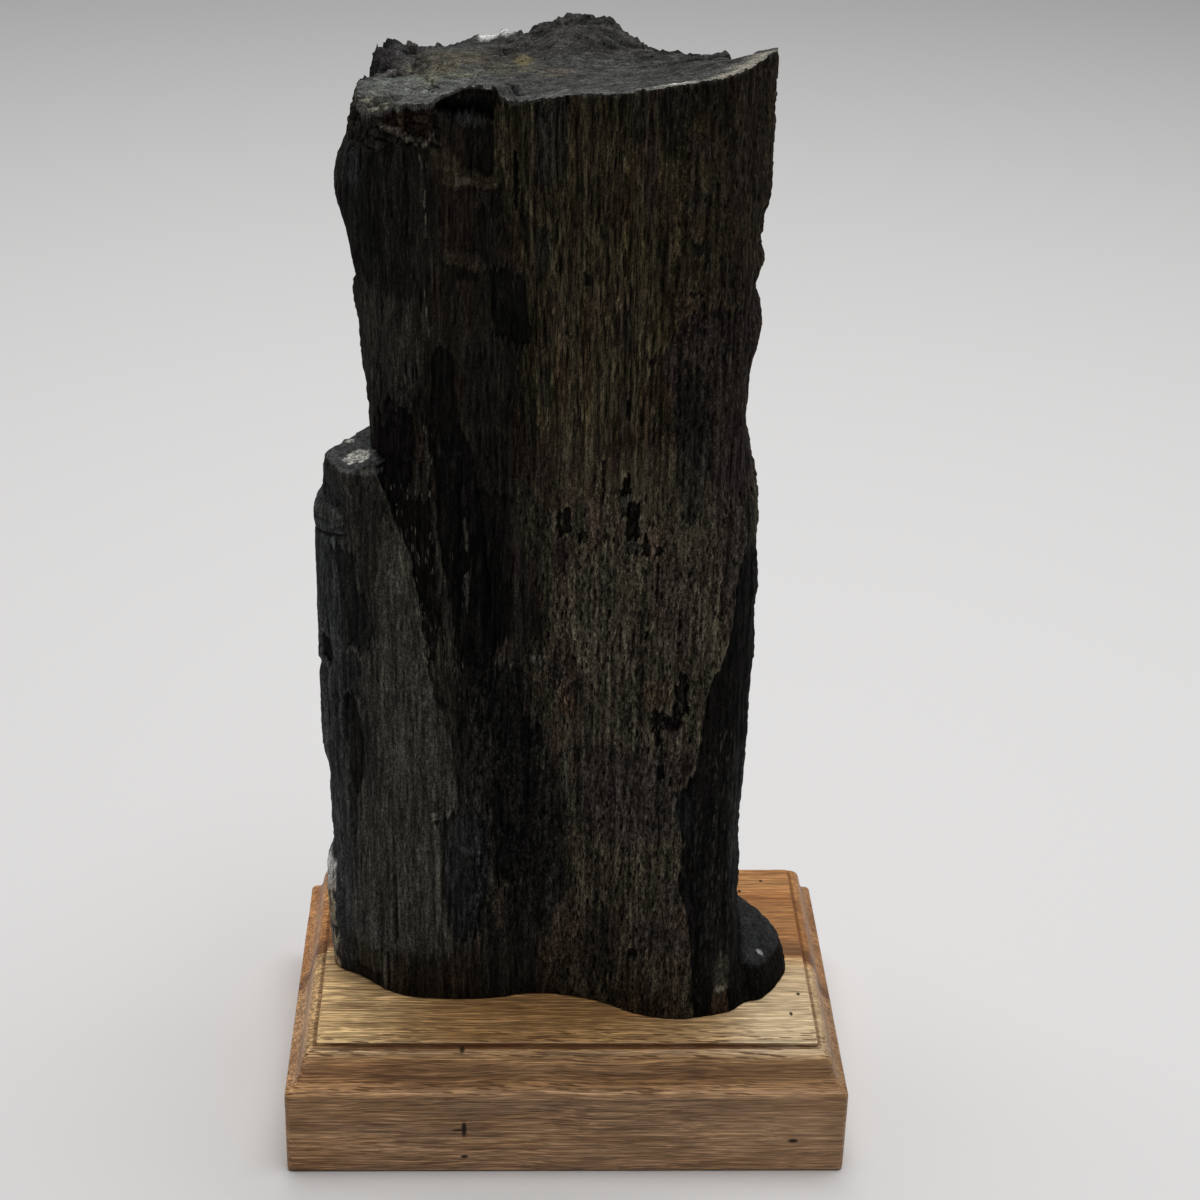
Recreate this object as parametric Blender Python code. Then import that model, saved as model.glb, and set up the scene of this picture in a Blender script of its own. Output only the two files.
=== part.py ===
"""Upright piece of petrified wood standing on a routed wooden display base.

Metres, +Z up.  The origin is the centre of the base's underside, +X runs along
the base's long side and -Y is the front.  Two pieces that come apart on a
bench: the stone, and the base that it stands on.
"""
import math

import bmesh
import bpy
import numpy as np

MM = 0.001

# ---------------------------------------------------------------- dimensions
BASE_WIDTH = 152.4 * MM        # 6 in board, along X
BASE_DEPTH = 101.6 * MM        # 4 in board, along Y
BASE_HEIGHT = 37.5 * MM        # planed 1 1/2 in board
CORNER_RADIUS = 1.5 * MM       # sanded vertical corners
CORNER_STEPS = 4
SEAT_GAP = 0.3 * MM            # clearance between the stone and the base

STONE_COLUMN_STEPS = 3         # mesh columns between two outline points
STONE_SHEAR_START = 268.0      # mm; above it the levels tilt into the broken top
STONE_TOP_LEVEL = 290.0        # mm; nominal height of the last station
CAP_CENTRE = (-5.0, 0.0)       # mm; middle of the broken top
CAP_HEIGHT = 290.3             # mm; height there
CAP_DISH = 1.6                 # how hollow the top is between rim and middle
CAP_RINGS = (0.84, 0.66, 0.47, 0.27)

# Moulding on the base's upper edge: (inset from the board's side, height), mm.
# A short fillet, a convex bead, then a concave sweep out to the lip.
OGEE = (
    (0.9, 0.0), (0.25, 0.35), (0.0, 1.1),
    (0.0, 25.5), (0.4, 26.1), (1.2, 26.6), (2.3, 27.5), (3.2, 28.7),
    (3.8, 30.2), (4.2, 31.9), (4.6, 33.5), (5.2, 34.8), (6.3, 35.7),
    (7.6, 36.1), (8.25, 36.2), (8.3, 37.5),
)

# Heights of the stone's levels, mm.  They are closest at the foot, at the two
# steps on the left and at the rim.
STONE_LEVELS = (
    37.8, 42.0, 46.0, 50.0, 54.0, 63.0, 74.0, 90.0, 108.0, 126.0, 141.0, 145.0,
    160.0, 171.0, 178.0, 183.0, 189.0, 193.0, 195.0, 197.5, 204.0, 212.0, 222.0,
    234.0, 246.0, 255.0, 263.0, 271.0, 278.0, 284.0, 290.0,
)

# The stone's outline at a few heights, mm, anticlockwise from above, starting
# on its left edge.  Points 1-5 are the slab on the left, 6-8 the valley, 9-14
# the broad ribbed face, 15-18 the right edge with its foot, 19-26 the back.
STATIONS = (
    (37.8, ((-65, -2), (-64, -8), (-57, -13), (-50, -19), (-42, -22.5),
            (-29, -23.3), (-19, -22.5), (-11, -20.7), (-3, -21), (8, -24),
            (18, -29.5), (28, -32.3), (37, -31.5), (45, -29), (49.5, -25),
            (55, -22.5), (61.5, -12), (62, -3), (57, 7), (50, 14), (38, 24),
            (22, 30), (4, 33), (-16, 32), (-36, 28), (-52, 20), (-62, 9))),
    (46.0, ((-65.6, -2), (-65, -8), (-58, -13.3), (-50.5, -18.8), (-42, -22.4),
            (-29, -23), (-19, -22), (-11, -20), (-3, -20), (8, -23),
            (18, -28.5), (28, -31.6), (36.5, -31), (44.3, -28.2),
            (48.5, -24.2), (54, -21), (59.5, -11.5), (60, -3), (56, 6.5),
            (49, 14), (38, 24), (22, 30), (4, 33), (-16, 32), (-36, 28),
            (-52.5, 20), (-62.5, 9))),
    (54.0, ((-66, -2), (-65.2, -8), (-58.5, -13.4), (-51, -18.6), (-42, -22.2),
            (-29, -22.8), (-19, -21.7), (-11, -19.2), (-3, -19.4),
            (7.5, -22.3), (17.5, -27.8), (27.5, -31.2), (36, -30.7),
            (43.2, -27.8), (46.8, -23.3), (48.3, -17), (48.6, -9), (48.3, -1),
            (47, 7), (44.5, 14), (37, 23.4), (21.5, 29.4), (3.5, 32.5),
            (-16, 31.8), (-36, 28), (-52.8, 20), (-63, 9))),
    (90.0, ((-65, 0), (-64.3, -8), (-58.7, -13.5), (-51, -18), (-42, -21.5),
            (-31, -21.5), (-22, -18.5), (-14, -15.5), (-5, -16.5), (5, -21.5),
            (15, -27), (25, -30), (34, -29.5), (41.5, -26), (45.7, -21),
            (47, -15), (47.3, -8), (46.9, 0), (45.8, 8), (43, 15), (35, 23),
            (20, 29), (2, 32), (-16, 31.5), (-36, 28), (-53.2, 20),
            (-62.8, 10))),
    (130.0, ((-66.3, 1), (-65.4, -7), (-60, -13), (-52, -17.5), (-44, -20),
             (-36.5, -19.5), (-30, -14.5), (-19, -12.5), (-9, -15.5),
             (2, -21.5), (13, -26.5), (24, -29.5), (33, -29), (42, -25),
             (46.6, -19), (48.1, -12.5), (48.4, -6), (47.8, 1), (46, 9),
             (42.5, 16), (33, 24), (18, 29), (1, 31.5), (-17, 31),
             (-36, 27.5), (-53.5, 20), (-64, 11))),
    (178.0, ((-66.8, 1), (-66, -6), (-61, -12), (-54, -16.5), (-49.5, -18.5),
             (-46, -18), (-38, -12), (-27, -10), (-14, -14.5), (-2, -21.5),
             (10, -26), (21, -28.5), (31, -28), (40, -24), (45.2, -18),
             (46.9, -12), (47.1, -5.5), (46.5, 1), (44.5, 9), (40.5, 16),
             (31, 24), (16, 28.5), (-1, 30.5), (-18, 30), (-36, 27),
             (-53, 20), (-64, 11))),
    (183.0, ((-64.4, 1), (-63.7, -6), (-60.3, -12), (-54, -16.3),
             (-49.5, -18), (-46, -17.3), (-38, -12.2), (-27, -10.2),
             (-14, -14.5), (-2, -21.5), (10, -26), (21, -28.5), (31, -28),
             (40, -24), (45, -18), (46.6, -12), (46.8, -5.5), (46.2, 1),
             (44.2, 9), (40.2, 16), (31, 24), (16, 28.5), (-1, 30.5),
             (-18, 30), (-36, 27), (-52.5, 19.5), (-62, 10))),
    (194.0, ((-63.2, -5), (-61.7, -10), (-57.5, -16.8), (-53, -17),
             (-49.5, -16.8), (-46, -15.5), (-38, -12.5), (-28, -10.5),
             (-15, -14.5), (-3, -21), (9, -25.5), (20, -28), (30, -27.5),
             (38.5, -23.5), (43.5, -18), (45, -12.5), (45.4, -6), (44.6, 1),
             (42.5, 9), (38.7, 16), (29, 23.5), (15, 28), (-1, 30),
             (-18, 29.5), (-35, 26.5), (-49, 18), (-58, 4))),
    (197.5, ((-51.8, -1), (-51.2, -8), (-50, -14), (-48.5, -15.5),
             (-46.5, -16), (-43, -15.5), (-36, -13), (-27.5, -11.5),
             (-15, -14.5), (-3, -21), (9, -25.5), (20, -28), (30, -27.5),
             (38.3, -23.5), (43.2, -18), (44.7, -12.5), (45.1, -6), (44.3, 1),
             (42.3, 9), (38.6, 16), (29, 23.4), (15, 28), (-1, 30),
             (-18, 29.3), (-35, 26.2), (-46.5, 17.5), (-51, 8))),
    (225.0, ((-53.5, 0), (-53, -8), (-50.5, -14), (-47.5, -17),
             (-43.5, -18.5), (-38, -18), (-32, -15.5), (-25, -13.5),
             (-16, -15.5), (-4, -21), (8, -25), (19, -27.5), (29, -27),
             (37.5, -23), (42.5, -17.5), (44.6, -12), (45.3, -6), (45, 1),
             (43, 8), (38.5, 15), (28, 22), (14, 27), (-2, 29), (-18, 28.5),
             (-35, 25), (-46.5, 17.5), (-52, 9))),
    (262.0, ((-59.8, 2), (-58.8, -6), (-54.8, -12), (-50, -15.5),
             (-44.5, -17.5), (-38, -17.5), (-31, -16.5), (-24, -16),
             (-16.5, -18.5), (-5, -22), (7, -25), (18, -27), (28, -26.5),
             (36.5, -22.5), (42, -16.5), (44.8, -10.5), (46, -4.5),
             (46.2, 1), (43, 6.5), (37.5, 12), (27.5, 18), (14, 24),
             (-2, 28), (-18, 27.5), (-36, 23.5), (-49.5, 18), (-57.5, 11))),
    (290.0, ((-54, 1), (-53.8, -5), (-52.4, -10), (-48.4, -14), (-43, -17),
             (-37, -19), (-31.5, -19.3), (-25, -19), (-17, -20.5),
             (-5, -22.5), (7, -24.5), (18, -26.2), (27.5, -25), (34.5, -21),
             (40, -14.8), (44, -7), (46.1, -1), (45.8, 2.5), (40, 5),
             (33.5, 8), (22, 14), (10, 22.5), (-3, 25), (-17, 24),
             (-34, 19.5), (-47, 17), (-53, 9.5))),
)

# Height of the broken rim at the same outline points, mm: low at the front
# left, a horn on the right, a peak at the back.
RIM_HEIGHTS = (
    288.4, 286.3, 284.2, 284.6, 287.2, 288.2, 290.6, 292.3, 289.6, 291.6,
    292.7, 294.8, 296.0, 296.6, 297.4, 298.2, 297.2, 297.0, 294.6, 293.3,
    292.8, 296.8, 299.2, 294.6, 292.4, 294.8, 291.4,
)

# A slab has come off the back above this height, leaving a ledge: how far the
# surface steps forward at the outline points there, mm.
BACK_LEDGE = (141.0, 145.0)
BACK_LEDGE_FADE = (225.0, 262.0)
BACK_STEP = {18: 0.8, 19: 2.4, 20: 4.6, 21: 5.2, 22: 3.4, 23: 0.6}

POINTS = len(RIM_HEIGHTS)
COLUMNS = POINTS * STONE_COLUMN_STEPS


def clear_scene():
    for obj in list(bpy.data.objects):
        bpy.data.objects.remove(obj, do_unlink=True)
    for mesh in list(bpy.data.meshes):
        bpy.data.meshes.remove(mesh)


def principled(name, colour, roughness, metallic=0.0):
    material = bpy.data.materials.new(name)
    material.use_nodes = True
    shader = next(n for n in material.node_tree.nodes
                  if n.type == 'BSDF_PRINCIPLED')
    shader.inputs['Base Color'].default_value = (*colour, 1.0)
    shader.inputs['Roughness'].default_value = roughness
    shader.inputs['Metallic'].default_value = metallic
    material.diffuse_color = (*colour, 1.0)
    return material


def object_from_bmesh(name, bm, material, smooth_angle):
    bmesh.ops.recalc_face_normals(bm, faces=bm.faces[:])
    mesh = bpy.data.meshes.new(name)
    bm.to_mesh(mesh)
    bm.free()
    mesh.shade_smooth()
    mesh.set_sharp_from_angle(angle=math.radians(smooth_angle))
    mesh.materials.append(material)
    obj = bpy.data.objects.new(name, mesh)
    bpy.context.scene.collection.objects.link(obj)
    return obj


# ---------------------------------------------------------------- the base
def rounded_rectangle(half_x, half_y, radius, steps, z):
    """Corner arcs joined by straight sides, anticlockwise from above."""
    points = []
    for corner, (sx, sy) in enumerate(((1, 1), (-1, 1), (-1, -1), (1, -1))):
        cx, cy = sx * (half_x - radius), sy * (half_y - radius)
        for i in range(steps + 1):
            a = math.radians(90.0 * corner + 90.0 * i / steps)
            points.append((cx + radius * math.cos(a),
                           cy + radius * math.sin(a), z))
    return points


def build_base():
    bm = bmesh.new()
    rings = []
    for inset, height in OGEE:
        loop = rounded_rectangle(BASE_WIDTH / 2 - inset * MM,
                                 BASE_DEPTH / 2 - inset * MM,
                                 CORNER_RADIUS, CORNER_STEPS, height * MM)
        rings.append([bm.verts.new(p) for p in loop])
    for low, high in zip(rings, rings[1:]):
        for i in range(len(low)):
            j = (i + 1) % len(low)
            bm.faces.new((low[i], low[j], high[j], high[i]))
    bm.faces.new(list(reversed(rings[0])))
    bm.faces.new(rings[-1])
    finish = principled('oiled_hardwood', (0.33, 0.20, 0.10), 0.45)
    return object_from_bmesh('wooden_base', bm, finish, 25.0)


# ---------------------------------------------------------------- the stone
def ramp(z, low, high):
    """0 below low, 1 above high, straight between them."""
    return min(max((z - low) / (high - low), 0.0), 1.0)


def slopes(x, y):
    """Slopes of a curve through y(x) that never overshoots its points."""
    h = np.diff(x)
    d = np.diff(y, axis=0) / h[:, None]
    m = np.zeros_like(y)
    w1 = (2 * h[1:] + h[:-1])[:, None]
    w2 = (h[1:] + 2 * h[:-1])[:, None]
    same = d[:-1] * d[1:] > 0
    a = np.where(same, d[:-1], 1.0)
    b = np.where(same, d[1:], 1.0)
    m[1:-1] = np.where(same, (w1 + w2) / (w1 / a + w2 / b), 0.0)
    m[0], m[-1] = d[0], d[-1]
    return m


def between_stations(z):
    """The stone's outline points at height z, as a (POINTS, 2) array."""
    x = np.array([s[0] for s in STATIONS], dtype=float)
    y = np.array([s[1] for s in STATIONS], dtype=float).reshape(len(x), -1)
    m = slopes(x, y)
    i = int(np.clip(np.searchsorted(x, z, side='right') - 1, 0, len(x) - 2))
    h = x[i + 1] - x[i]
    t = (min(z, x[-1]) - x[i]) / h
    value = (y[i] * (1 + 2 * t) * (1 - t) ** 2 + y[i + 1] * t * t * (3 - 2 * t)
             + h * m[i] * t * (1 - t) ** 2 - h * m[i + 1] * t * t * (1 - t))
    outline = value.reshape(POINTS, 2)
    step = ramp(z, *BACK_LEDGE) * (1.0 - ramp(z, *BACK_LEDGE_FADE))
    for point, depth in BACK_STEP.items():
        outline[point, 1] -= depth * step
    return outline


def around(values, u):
    """Closed Catmull-Rom curve through the outline's points, read at u."""
    n = len(values)
    i = np.floor(u).astype(int)
    t = (u - i)[:, None]
    p0, p1 = values[(i - 1) % n], values[i % n]
    p2, p3 = values[(i + 1) % n], values[(i + 2) % n]
    return 0.5 * (2 * p1 + (p2 - p0) * t
                  + (2 * p0 - 5 * p1 + 4 * p2 - p3) * t * t
                  + (3 * p1 - p0 - 3 * p2 + p3) * t ** 3)


def build_stone():
    u = np.arange(COLUMNS) / STONE_COLUMN_STEPS
    rim = around(np.array(RIM_HEIGHTS)[:, None], u)[:, 0]
    bottom = BASE_HEIGHT / MM + SEAT_GAP / MM

    levels = []
    for z in STONE_LEVELS:
        outline = around(between_stations(z), u)
        if z > STONE_SHEAR_START:
            k = (z - STONE_SHEAR_START) / (STONE_TOP_LEVEL - STONE_SHEAR_START)
            heights = STONE_SHEAR_START + k * (rim - STONE_SHEAR_START)
        else:
            heights = np.full(COLUMNS, max(z, bottom))
        levels.append(np.column_stack((outline, heights)))

    centre = np.array(CAP_CENTRE)
    top = levels[-1]
    for f in CAP_RINGS:
        xy = centre + (top[:, :2] - centre) * f
        z = CAP_HEIGHT + (top[:, 2] - CAP_HEIGHT) * f ** CAP_DISH
        levels.append(np.column_stack((xy, z)))

    bm = bmesh.new()
    rings = [[bm.verts.new(p * MM) for p in level] for level in levels]
    for low, high in zip(rings, rings[1:]):
        for i in range(COLUMNS):
            j = (i + 1) % COLUMNS
            bm.faces.new((low[i], low[j], high[j]))
            bm.faces.new((low[i], high[j], high[i]))
    crown = bm.verts.new((CAP_CENTRE[0] * MM, CAP_CENTRE[1] * MM,
                          CAP_HEIGHT * MM))
    foot = bm.verts.new((CAP_CENTRE[0] * MM, CAP_CENTRE[1] * MM, bottom * MM))
    for i in range(COLUMNS):
        j = (i + 1) % COLUMNS
        bm.faces.new((rings[-1][i], rings[-1][j], crown))
        bm.faces.new((rings[0][j], rings[0][i], foot))
    stone = principled('silicified_wood', (0.045, 0.038, 0.030), 0.62)
    return object_from_bmesh('petrified_wood', bm, stone, 38.0)


def main():
    clear_scene()
    build_base()
    build_stone()


main()
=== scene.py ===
"""The looks of an upright piece of petrified wood on a routed wooden base.

Every length below is in millimetres in the part's own frame (+Z up, origin at
the middle of the base's underside) and is turned into metres where a mesh is
made.  The stone's outline stations are the same ones that the solid was lofted
through; here the loft is sampled finely and then broken, split and weathered.
"""

import math

import bpy
import numpy as np
from mathutils import Matrix, Vector
from mathutils.bvhtree import BVHTree
from mathutils.geometry import delaunay_2d_cdt


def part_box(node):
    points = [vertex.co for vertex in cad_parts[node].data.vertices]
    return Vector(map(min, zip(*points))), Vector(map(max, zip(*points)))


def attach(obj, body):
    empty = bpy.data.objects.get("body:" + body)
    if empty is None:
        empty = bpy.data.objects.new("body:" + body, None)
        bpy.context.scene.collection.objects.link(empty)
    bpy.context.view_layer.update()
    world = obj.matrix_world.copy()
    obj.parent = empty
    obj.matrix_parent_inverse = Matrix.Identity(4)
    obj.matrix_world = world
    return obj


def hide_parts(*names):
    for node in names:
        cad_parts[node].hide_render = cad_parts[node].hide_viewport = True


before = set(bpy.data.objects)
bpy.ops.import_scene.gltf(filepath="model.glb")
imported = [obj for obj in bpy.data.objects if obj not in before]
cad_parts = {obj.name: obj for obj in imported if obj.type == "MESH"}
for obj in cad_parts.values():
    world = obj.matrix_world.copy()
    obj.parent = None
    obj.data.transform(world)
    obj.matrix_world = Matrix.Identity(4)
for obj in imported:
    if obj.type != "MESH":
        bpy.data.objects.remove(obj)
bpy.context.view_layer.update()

MM = 0.001

# ------------------------------------------------------------------ the shape
BASE_W, BASE_D = 152.4, 101.6
STONE_BOTTOM = 37.8
SHEAR_START, TOP_LEVEL = 268.0, 290.0
CAP_CENTRE = np.array((-5.0, 0.0))
CAP_HEIGHT, CAP_DISH = 290.3, 1.6

STATIONS = (
    (37.8, ((-65, -2), (-64, -8), (-57, -13), (-50, -19), (-42, -22.5),
            (-29, -23.3), (-19, -22.5), (-11, -20.7), (-3, -21), (8, -24),
            (18, -29.5), (28, -32.3), (37, -31.5), (45, -29), (49.5, -25),
            (55, -22.5), (61.5, -12), (62, -3), (57, 7), (50, 14), (38, 24),
            (22, 30), (4, 33), (-16, 32), (-36, 28), (-52, 20), (-62, 9))),
    (46.0, ((-65.6, -2), (-65, -8), (-58, -13.3), (-50.5, -18.8), (-42, -22.4),
            (-29, -23), (-19, -22), (-11, -20), (-3, -20), (8, -23),
            (18, -28.5), (28, -31.6), (36.5, -31), (44.3, -28.2),
            (48.5, -24.2), (54, -21), (59.5, -11.5), (60, -3), (56, 6.5),
            (49, 14), (38, 24), (22, 30), (4, 33), (-16, 32), (-36, 28),
            (-52.5, 20), (-62.5, 9))),
    (54.0, ((-66, -2), (-65.2, -8), (-58.5, -13.4), (-51, -18.6), (-42, -22.2),
            (-29, -22.8), (-19, -21.7), (-11, -19.2), (-3, -19.4),
            (7.5, -22.3), (17.5, -27.8), (27.5, -31.2), (36, -30.7),
            (43.2, -27.8), (46.8, -23.3), (48.3, -17), (48.6, -9), (48.3, -1),
            (47, 7), (44.5, 14), (37, 23.4), (21.5, 29.4), (3.5, 32.5),
            (-16, 31.8), (-36, 28), (-52.8, 20), (-63, 9))),
    (90.0, ((-65, 0), (-64.3, -8), (-58.7, -13.5), (-51, -18), (-42, -21.5),
            (-31, -21.5), (-22, -18.5), (-14, -15.5), (-5, -16.5), (5, -21.5),
            (15, -27), (25, -30), (34, -29.5), (41.5, -26), (45.7, -21),
            (47, -15), (47.3, -8), (46.9, 0), (45.8, 8), (43, 15), (35, 23),
            (20, 29), (2, 32), (-16, 31.5), (-36, 28), (-53.2, 20),
            (-62.8, 10))),
    (130.0, ((-66.3, 1), (-65.4, -7), (-60, -13), (-52, -17.5), (-44, -20),
             (-36.5, -19.5), (-30, -14.5), (-19, -12.5), (-9, -15.5),
             (2, -21.5), (13, -26.5), (24, -29.5), (33, -29), (42, -25),
             (46.6, -19), (48.1, -12.5), (48.4, -6), (47.8, 1), (46, 9),
             (42.5, 16), (33, 24), (18, 29), (1, 31.5), (-17, 31),
             (-36, 27.5), (-53.5, 20), (-64, 11))),
    (178.0, ((-66.8, 1), (-66, -6), (-61, -12), (-54, -16.5), (-49.5, -18.5),
             (-46, -18), (-38, -12), (-27, -10), (-14, -14.5), (-2, -21.5),
             (10, -26), (21, -28.5), (31, -28), (40, -24), (45.2, -18),
             (46.9, -12), (47.1, -5.5), (46.5, 1), (44.5, 9), (40.5, 16),
             (31, 24), (16, 28.5), (-1, 30.5), (-18, 30), (-36, 27),
             (-53, 20), (-64, 11))),
    (183.0, ((-64.4, 1), (-63.7, -6), (-60.3, -12), (-54, -16.3),
             (-49.5, -18), (-46, -17.3), (-38, -12.2), (-27, -10.2),
             (-14, -14.5), (-2, -21.5), (10, -26), (21, -28.5), (31, -28),
             (40, -24), (45, -18), (46.6, -12), (46.8, -5.5), (46.2, 1),
             (44.2, 9), (40.2, 16), (31, 24), (16, 28.5), (-1, 30.5),
             (-18, 30), (-36, 27), (-52.5, 19.5), (-62, 10))),
    (194.0, ((-63.2, -5), (-61.7, -10), (-57.5, -16.8), (-53, -17),
             (-49.5, -16.8), (-46, -15.5), (-38, -12.5), (-28, -10.5),
             (-15, -14.5), (-3, -21), (9, -25.5), (20, -28), (30, -27.5),
             (38.5, -23.5), (43.5, -18), (45, -12.5), (45.4, -6), (44.6, 1),
             (42.5, 9), (38.7, 16), (29, 23.5), (15, 28), (-1, 30),
             (-18, 29.5), (-35, 26.5), (-49, 18), (-58, 4))),
    (197.5, ((-51.8, -1), (-51.2, -8), (-50, -14), (-48.5, -15.5),
             (-46.5, -16), (-43, -15.5), (-36, -13), (-27.5, -11.5),
             (-15, -14.5), (-3, -21), (9, -25.5), (20, -28), (30, -27.5),
             (38.3, -23.5), (43.2, -18), (44.7, -12.5), (45.1, -6), (44.3, 1),
             (42.3, 9), (38.6, 16), (29, 23.4), (15, 28), (-1, 30),
             (-18, 29.3), (-35, 26.2), (-46.5, 17.5), (-51, 8))),
    (225.0, ((-53.5, 0), (-53, -8), (-50.5, -14), (-47.5, -17),
             (-43.5, -18.5), (-38, -18), (-32, -15.5), (-25, -13.5),
             (-16, -15.5), (-4, -21), (8, -25), (19, -27.5), (29, -27),
             (37.5, -23), (42.5, -17.5), (44.6, -12), (45.3, -6), (45, 1),
             (43, 8), (38.5, 15), (28, 22), (14, 27), (-2, 29), (-18, 28.5),
             (-35, 25), (-46.5, 17.5), (-52, 9))),
    (262.0, ((-59.8, 2), (-58.8, -6), (-54.8, -12), (-50, -15.5),
             (-44.5, -17.5), (-38, -17.5), (-31, -16.5), (-24, -16),
             (-16.5, -18.5), (-5, -22), (7, -25), (18, -27), (28, -26.5),
             (36.5, -22.5), (42, -16.5), (44.8, -10.5), (46, -4.5),
             (46.2, 1), (43, 6.5), (37.5, 12), (27.5, 18), (14, 24),
             (-2, 28), (-18, 27.5), (-36, 23.5), (-49.5, 18), (-57.5, 11))),
    (290.0, ((-54, 1), (-53.8, -5), (-52.4, -10), (-48.4, -14), (-43, -17),
             (-37, -19), (-31.5, -19.3), (-25, -19), (-17, -20.5),
             (-5, -22.5), (7, -24.5), (18, -26.2), (27.5, -25), (34.5, -21),
             (40, -14.8), (44, -7), (46.1, -1), (45.8, 2.5), (40, 5),
             (33.5, 8), (22, 14), (10, 22.5), (-3, 25), (-17, 24),
             (-34, 19.5), (-47, 17), (-53, 9.5))),
)

RIM_HEIGHTS = (
    288.4, 286.3, 284.2, 284.6, 287.2, 288.2, 290.6, 292.3, 289.6, 291.6,
    292.7, 294.8, 296.0, 296.6, 297.4, 298.2, 297.2, 297.0, 294.6, 293.3,
    292.8, 296.8, 299.2, 294.6, 292.4, 294.8, 291.4,
)

BACK_LEDGE = (141.0, 145.0)
BACK_LEDGE_FADE = (225.0, 262.0)
BACK_STEP = {18: 0.8, 19: 2.4, 20: 4.6, 21: 5.2, 22: 3.4, 23: 0.6}
POINTS = len(RIM_HEIGHTS)


# ------------------------------------------------------------------ numbers
def smooth(a, b, x):
    """0 below a, 1 above b, eased between them; a may be above b."""
    t = np.clip((np.asarray(x, float) - a) / (b - a), 0.0, 1.0)
    return t * t * (3 - 2 * t)


def ramp(z, low, high):
    return min(max((z - low) / (high - low), 0.0), 1.0)


def _mix_bits(ix, iy, iz, seed):
    h = ((ix & 0xFFFFFFFF).astype(np.uint32) * np.uint32(0x8DA6B343)
         ^ (iy & 0xFFFFFFFF).astype(np.uint32) * np.uint32(0xD8163841)
         ^ (iz & 0xFFFFFFFF).astype(np.uint32) * np.uint32(0xCB1AB31F)
         ^ np.uint32((seed * 0x9E3779B9) & 0xFFFFFFFF))
    h ^= h >> np.uint32(16)
    h *= np.uint32(0x7FEB352D)
    h ^= h >> np.uint32(15)
    h *= np.uint32(0x846CA68B)
    h ^= h >> np.uint32(16)
    return h


def gnoise(x, y, z, seed=0):
    """Gradient noise, about -1 to 1."""
    x, y, z = np.broadcast_arrays(x, y, z)
    fx, fy, fz = np.floor(x), np.floor(y), np.floor(z)
    ix, iy, iz = fx.astype(np.int64), fy.astype(np.int64), fz.astype(np.int64)
    dx, dy, dz = x - fx, y - fy, z - fz
    sx = dx * dx * dx * (dx * (dx * 6 - 15) + 10)
    sy = dy * dy * dy * (dy * (dy * 6 - 15) + 10)
    sz = dz * dz * dz * (dz * (dz * 6 - 15) + 10)
    total = 0.0
    for i in (0, 1):
        wx = sx if i else 1 - sx
        for j in (0, 1):
            wy = sy if j else 1 - sy
            for k in (0, 1):
                wz = sz if k else 1 - sz
                h = _mix_bits(ix + i, iy + j, iz + k, seed)
                gx = (h & np.uint32(1023)) / 511.5 - 1.0
                gy = ((h >> np.uint32(10)) & np.uint32(1023)) / 511.5 - 1.0
                gz = ((h >> np.uint32(20)) & np.uint32(1023)) / 511.5 - 1.0
                total = total + wx * wy * wz * (
                    gx * (dx - i) + gy * (dy - j) + gz * (dz - k))
    return total * 1.5


def fnoise(x, y, z, seed=0, octaves=3, gain=0.5):
    total, amp, f = 0.0, 1.0, 1.0
    for o in range(octaves):
        total = total + amp * gnoise(x * f, y * f, z * f, seed + 17 * o)
        amp *= gain
        f *= 2.03
    return total


def cells(x, y, z, seed=0):
    """Nearest cell point: distance to it, to the next one, and its number."""
    x, y, z = np.broadcast_arrays(x, y, z)
    ix = np.floor(x).astype(np.int64)
    iy = np.floor(y).astype(np.int64)
    iz = np.floor(z).astype(np.int64)
    d1 = np.full(x.shape, 9.0)
    d2 = np.full(x.shape, 9.0)
    who = np.zeros(x.shape)
    for i in (-1, 0, 1):
        for j in (-1, 0, 1):
            for k in (-1, 0, 1):
                h = _mix_bits(ix + i, iy + j, iz + k, seed)
                px = ix + i + (h & np.uint32(1023)) / 1023.0
                py = iy + j + ((h >> np.uint32(10)) & np.uint32(1023)) / 1023.0
                pz = iz + k + ((h >> np.uint32(20)) & np.uint32(1023)) / 1023.0
                d = np.sqrt((px - x) ** 2 + (py - y) ** 2 + (pz - z) ** 2)
                closer = d < d1
                d2 = np.where(closer, d1, np.minimum(d2, d))
                tag = ((h ^ (h >> np.uint32(7))) & np.uint32(4095)) / 4095.0
                who = np.where(closer, tag, who)
                d1 = np.where(closer, d, d1)
    return d1, d2, who


def slopes(x, y):
    h = np.diff(x)
    d = np.diff(y, axis=0) / h[:, None]
    m = np.zeros_like(y)
    w1 = (2 * h[1:] + h[:-1])[:, None]
    w2 = (h[1:] + 2 * h[:-1])[:, None]
    same = d[:-1] * d[1:] > 0
    a = np.where(same, d[:-1], 1.0)
    b = np.where(same, d[1:], 1.0)
    m[1:-1] = np.where(same, (w1 + w2) / (w1 / a + w2 / b), 0.0)
    m[0], m[-1] = d[0], d[-1]
    return m


ST_Z = np.array([s[0] for s in STATIONS], dtype=float)
ST_P = np.array([s[1] for s in STATIONS], dtype=float).reshape(len(ST_Z), -1)
ST_M = slopes(ST_Z, ST_P)


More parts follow.
